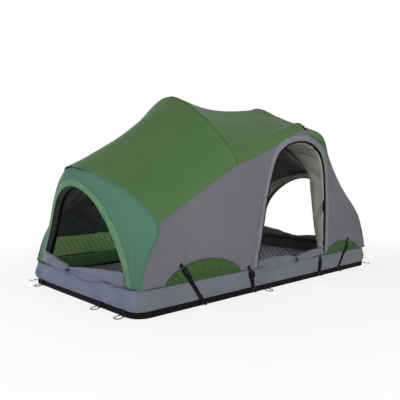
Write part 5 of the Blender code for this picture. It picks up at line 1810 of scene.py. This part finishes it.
def make_strap(side, turn, place, top_x, top_z, low_x):
    """A sewn loop on the wall, a ladder buckle, the webbing with its free tail, and a hook."""
    key = "%s_%s" % (side, place)
    body = "strap_" + key
    lean = 0.0022 if top_z > SKIRT_TOP + BUCKLE_LENGTH else 0.0
    top = Vector((top_x, -STRAP_PLANE + lean, top_z))
    low = Vector((low_x, -STRAP_PLANE, BAND_HEIGHT / 2))
    down = (low - top).normalized()
    out = down.cross(ALONG).normalized()
    out = out if out.y < 0 else -out
    length = (low - top).length
    axes = [turned(axis, turn) for axis in (out.cross(down).normalized(), down, out)]
    across, _, face = axes

    def at(run, lift=0.0, aside=0.0):
        return turned(top + down * run + out * lift, turn) + across * aside

    bars = [(at(0.021, 0.0, k * 0.0145), axes, (0.0042, BUCKLE_LENGTH, 0.0052), 0.0014) for k in (-1, 1)]
    bars += [(at(run, lift), axes, (0.030, deep, 0.0046), 0.0014) for run, lift, deep in (
        (0.003, 0.0, 0.0052), (0.0175, 0.0008, 0.0058), (0.0390, 0.0, 0.0056))]
    bars += [(at(0.0395, 0.0026), axes, (0.0200, 0.0080, 0.0030), 0.0012)]
    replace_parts(hard_piece("buckle_" + key, bars, body), body)
    if place == "2":
        hard_piece("strap_flap_" + side, [
            (at(0.026, 0.0050, 0.004), axes, (0.0460, 0.0380, 0.0030), 0.0013),
            (at(0.027, 0.0072, 0.006), axes, (0.0300, 0.0250, 0.0018), 0.0008),
        ], body, WEBBING)
    web = [(at(run, lift), face) for run, lift in (
        (0.012, -0.0004), (0.0175, -0.0028), (0.026, -0.0010), (0.034, -0.0022), (0.046, -0.0012))]
    web += [(at(0.046 + (length - 0.046) * k / 22, -0.0010 + 0.0007 * math.sin(2.2 * k)), face) for k in range(1, 23)]
    strip("webbing_" + key, web, flat_profile(0.0245, 0.0017), WEBBING, body)
    free = min(0.060, length - 0.050)
    tail = [(at(0.030, 0.0010), face), (at(0.038, 0.0062), face)]
    tail += [(at(0.040 + free * k / 12, 0.0048 + 0.0035 * math.sin(0.36 * k)), face) for k in range(1, 13)]
    strip("webbing_tail_" + key, tail, flat_profile(0.0240, 0.0014), WEBBING, body)
    sewn = []
    for k in range(9):
        run = 0.010 - 0.046 * k / 8
        point = at(run, -0.0006)
        wall = side_wall(side, point.x, max(point.z, FLY_FOOT + 0.0005))
        share = min(1.0, max(0.0, (0.002 - run) / 0.014))
        point.y += (wall.y - turn * 0.0012 - point.y) * share
        sewn.append((point, face))
    strip("sewn_loop_" + key, sewn, flat_profile(0.0245, 0.0016), WEBBING)
    path = smooth_path([low + down * (0.0003 - z) + out * y for y, z in HOOK_SHAPE], 26)
    line = faced([turned(point, turn) for point in path], across)
    hook = strip("strap_hook_" + key, line, moulded_profile(0.0100, 0.0020, 0.85), PLASTIC, body)
    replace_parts(hook, "hook_" + key)
    hard_piece("hook_bar_" + key, [
        (at(length - 0.002), axes, (0.0290, 0.0060, 0.0048), 0.0016),
        (at(length - 0.008, 0.0022), axes, (0.0250, 0.0100, 0.0016), 0.0006),
    ], body)


for strap_side, strap_turn in (("near", 1), ("far", -1)):
    for strap in STRAPS:
        make_strap(strap_side, strap_turn, *strap)


# Anchor rings and their tabs

RING_OUT = 0.0075
RING_HEIGHT = 0.0075
RING_LENGTH = 0.052
RING_WIDTH = 0.046
RING_WIRE = 0.0045
RING_STATIONS = 14
RING_SMOOTH = 5
TAB_LINE = ((0.0052, 0.036), (0.0054, 0.028), (0.0058, 0.021), (0.0072, 0.0165), (0.0100, 0.0140), (0.0122, 0.0105),
            (0.0124, 0.0070))
TAB_BOX = ((-0.009, 0.033), (0.009, 0.033), (0.009, 0.022), (-0.009, 0.022), (-0.009, 0.033))


def ring_places():
    """Name, foot and outward direction of each ring."""
    for side, turn in (("left", 1), ("right", -1)):
        for k, y in enumerate(RING_ROWS):
            yield "%s_%d" % (side, k + 1), Vector((-LENGTH / 2 * turn, y * turn, 0.0)), ALONG * -turn
    for side, turn in (("near", 1), ("far", -1)):
        yield side, Vector((-0.150 * turn, -WIDTH / 2 * turn, 0.0)), ACROSS * -turn


def ring_path(bar, edge, out):
    """Closed middle line of a ring: a straight bar under its tab, and a bow that lies on the ground."""
    path = [bar + edge * (RING_WIDTH * 0.32 * k) for k in (-1, 0, 1)]
    for i in range(2, RING_STATIONS - 1):
        angle = 2.0 * math.pi * i / RING_STATIONS
        wide = math.copysign(abs(math.sin(angle)) ** 0.75, math.sin(angle)) * RING_WIDTH / 2
        far = (1.0 - math.cos(angle)) / 2
        drop = (RING_HEIGHT - RING_WIRE / 2 - 0.0002) * min(1.0, far * 1.15)
        path.append(bar + edge * wide + out * (RING_LENGTH * far) - UP * drop)
    count = len(path)
    return [cubic(*(path[(k + d) % count] for d in (-1, 0, 1, 2)), s / RING_SMOOTH)
            for k in range(count) for s in range(RING_SMOOTH)]


def make_rings():
    for place, foot, out in ring_places():
        edge = Vector((-out.y, out.x, 0.0))
        path = ring_path(foot + out * RING_OUT + UP * RING_HEIGHT, edge, out)
        wire = strip("anchor_ring_" + place, [(p, UP) for p in path], round_profile(RING_WIRE * 0.58, sides=10),
                     RING_STEEL, "ring_" + place, loop=True)
        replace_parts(wire, "ring_" + place)
        cover = [(foot + out * reach + UP * height, out) for reach, height in TAB_LINE]
        strip("ring_tab_" + place, cover, flat_profile(0.0262, 0.0012), WEBBING)
        box = [(foot + out * 0.0068 + edge * a + UP * h, out) for a, h in TAB_BOX]
        repeat_along("ring_tab_stitches_" + place, [box], 0.0030, (0.0020, 0.0008, 0.0006), THREAD_GREY)


make_rings()


# Cords with hooks at two corners, zip slider and small fittings

CORD_LINE = ((0.0010, 0.0180), (0.0120, 0.0168), (0.0220, 0.0150), (0.0330, 0.0125), (0.0460, 0.0100))
CLIP_LINE = ((0.0445, 0.0102), (0.0500, 0.0080), (0.0560, 0.0062), (0.0615, 0.0078), (0.0630, 0.0150))
SLIDER_X = -0.206
SLIDER_LOW = 0.236
SLIDER_BARS = (
    # height, lift off the wall, sizes, softness
    (0.0085, 0.0034, (0.0100, 0.0140, 0.0042), 0.0014), (0.0085, 0.0062, (0.0035, 0.0100, 0.0022), 0.0008),
    (-0.0020, 0.0064, (0.0060, 0.0090, 0.0018), 0.0007), (-0.0150, 0.0066, (0.0070, 0.0200, 0.0020), 0.0008),
)


def make_corner_cords():
    for side, sign_x, sign_y in (("left", -1, 1), ("right", 1, -1)):
        body = "corner_hook_" + side
        foot, out = tub_corner(sign_x, sign_y)
        path = smooth_path([foot + out * reach + UP * height for reach, height in CORD_LINE], 20)
        cord = strip("corner_cord_" + side, [(p, UP) for p in path], round_profile(0.0031, 0.0014, 12), CORD_BLACK,
                     body)
        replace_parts(cord, body)
        bead = [(foot + out * (0.021 + 0.003 * k) + UP * (0.0152 - 0.0007 * k), UP, radius)
                for k, radius in enumerate((0.0028, 0.0046, 0.0050, 0.0046, 0.0028))]
        toggle = barrel("corner_toggle_" + side, bead, PLASTIC, body)
        line = smooth_path([foot + out * reach + UP * height for reach, height in CLIP_LINE], 22)
        hook = strip("corner_clip_" + side, faced(line, Vector((-out.y, out.x, 0.0))),
                     moulded_profile(0.0048, 0.0015, 0.8), PLASTIC, body)
        length = sum((b - a).length for a, b in zip(path, path[1:]))
        tuple(path[0])
        [tuple(p) for p in path]


def make_slider():
    wall = near_wall(SLIDER_X, SLIDER_LOW)
    axes = (ALONG, UP, -ACROSS)
    bars = [(Vector((SLIDER_X, wall.y - lift, SLIDER_LOW + height)), axes, sizes, soft)
            for height, lift, sizes, soft in SLIDER_BARS]
    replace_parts(hard_piece("zip_pull", bars, "zip_slider"), "zip_slider")


def tip(name, point, out, along, metal_at):
    """Webbing tab with a moulded clip and a bright rivet, sewn where panels meet."""
    across = out.cross(along).normalized()
    axes = (across, along, out)
    web = [(point + along * s + out * (0.0016 + 0.0010 * math.sin(60.0 * s)), out)
           for s in (-0.016, -0.010, -0.004, 0.002, 0.008, 0.014)]
    strip(name + "_tab", web, flat_profile(0.016, 0.0018), WEBBING)
    hard_piece(name + "_clip", [
        (point + along * 0.010 + out * 0.0050, axes, (0.0190, 0.0090, 0.0050), 0.0018),
        (point - along * 0.006 + out * 0.0048, axes, (0.0130, 0.0140, 0.0036), 0.0014),
    ])
    barrel(name + "_rivet", [(point + along * metal_at + out * (0.0060 + 0.0012 * k), across, radius)
                             for k, radius in enumerate((0.0050, 0.0062, 0.0052))], TIP_METAL)


def make_tips():
    apex = end_point(0.0, 4.90)
    down = Vector((0.0, 0.97, -0.24)).normalized()
    for side, sign in (("left", 1), ("right", -1)):
        out = Vector((-0.80 * sign, 0.0, 0.60)).normalized()
        tip("apex_tip_" + side, Vector((apex.x * sign, apex.y * sign, apex.z)), out, down, -0.006)
    for name, bay, position in (
        ("hood_tip", HOOD_BAY, 2.02), ("eave_tip_left", 1.0, 8.0), ("eave_tip_right", 2.0, 8.0),
    ):
        out = surface_out(bay, position)
        down = Vector((0.35, 0.0, -1.0))
        tip(name, fly_point(bay, position), out, (down - out * down.dot(out)).normalized(), -0.004)


def make_toggle():
    """Toggle that holds the rolled inner door over the right doorway."""
    point = right_wall(0.042, 0.782) - ALONG * (INNER_GAP + 0.014)
    axes = (ACROSS, UP, ALONG)
    hard_piece("inner_toggle_right", [
        (point, axes, (0.034, 0.012, 0.010), 0.003),
        (point - UP * 0.018, axes, (0.010, 0.034, 0.004), 0.0015),
    ])


def dress_nodes():
    """Finishes of the solids that show as they are."""
    names = {
        TUB_COAT: ["base_tub"],
        POLE_METAL: HOOPS + ["end_pole_left", "end_pole_right", "brow_pole"],
        PLASTIC: ["clip_%s_%s" % (place, side) for place in ("crown", "end") for side in ("left", "right")],
    }
    for material, nodes in names.items():
        for name in nodes:
            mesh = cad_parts[name].data
            for k in range(len(mesh.materials)):
                mesh.materials[k] = material


make_corner_cords()
make_slider()
make_tips()
make_toggle()
dress_nodes()


# Floor, light and background

FLOOR_EVEN = 0.80
FLOOR_HALF = 30.0
LIGHTS = (
    # name, place, target, size, power, seen by the camera
    ("key", (-1.5, -5.2, 1.7), (0.1, 0.0, 0.45), 3.6, 190.0, True),
    ("left_fill", (-5.4, -0.6, 2.0), (0.0, 0.0, 0.5), 3.0, 105.0, True),
    ("top", (0.8, 0.2, 5.4), (0.0, 0.0, 0.6), 3.6, 15.0, True),
    ("far_fill", (-0.6, 5.0, 2.2), (0.0, 0.0, 0.4), 3.0, 90.0, True),
    ("inside_left", (-0.35, -0.10, 0.88), (-0.55, 0.25, 0.1), 0.45, 3.2, False),
    ("inside_right", (0.30, 0.05, 0.90), (0.55, 0.10, 0.1), 0.45, 2.6, False),
)


def seen_straight(graph):
    """1 for rays that the picture shows, 0 for those that only light the tent."""
    rays = graph.node("ShaderNodeLightPath", {})
    return (rays.at("Is Camera Ray") + rays.at("Is Glossy Ray") + rays.at("Is Transmission Ray")).clamp()


def studio_finish(graph):
    """White ground: mostly even white for the eye, with enough diffuse left to hold a soft shadow."""
    diffuse = graph.node("ShaderNodeBsdfDiffuse", {}, Color=(0.86, 0.86, 0.86, 1.0))
    white = graph.node("ShaderNodeEmission", {}, Color=(1.0, 1.0, 1.0, 1.0), Strength=1.0)
    x, y = graph.parts(graph.place())
    even = FLOOR_EVEN + ((x * x + y * y) ** 0.5).step(1.2, 3.2) * (1.0 - FLOOR_EVEN)
    return graph.node("ShaderNodeMixShader", {}, seen_straight(graph) * even, diffuse, white)


def make_floor():
    mesh = bpy.data.meshes.new("floor")
    corners = [(x * FLOOR_HALF, y * FLOOR_HALF, 0.0) for x, y in ((-1, -1), (1, -1), (1, 1), (-1, 1))]
    mesh.from_pydata(corners, [], [[0, 1, 2, 3]])
    mesh.materials.append(finish_with("studio_white", studio_finish))
    linked("floor", mesh)


def make_light():
    for name, place, target, size, power, shown in LIGHTS:
        data = bpy.data.lights.new(name, "AREA")
        data.shape = "DISK"
        data.size = size
        data.energy = power
        lamp = linked(name, data)
        lamp.location = place
        lamp.visible_camera = shown
        lamp.visible_glossy = shown
        lamp.rotation_euler = (Vector(target) - Vector(place)).to_track_quat("-Z", "Y").to_euler()
    world = bpy.data.worlds.new("studio")
    world.use_nodes = True
    bpy.context.scene.world = world
    graph = Graph(world.node_tree)
    seen = seen_straight(graph)
    geometry = graph.node("ShaderNodeNewGeometry", {})
    rise = graph.node("ShaderNodeSeparateXYZ", {}, geometry.at("Incoming")).at("Z")
    strength = 0.70 - rise.math("ABSOLUTE") * 0.56
    soft = graph.node("ShaderNodeBackground", {}, Color=(0.95, 0.97, 1.0, 1.0), Strength=strength)
    white = graph.node("ShaderNodeBackground", {}, Color=(1.0, 1.0, 1.0, 1.0), Strength=1.0)
    graph.node("ShaderNodeOutputWorld", {}, graph.node("ShaderNodeMixShader", {}, seen, soft, white))


make_floor()
make_light()
bpy.context.scene.view_settings.view_transform = "Standard"
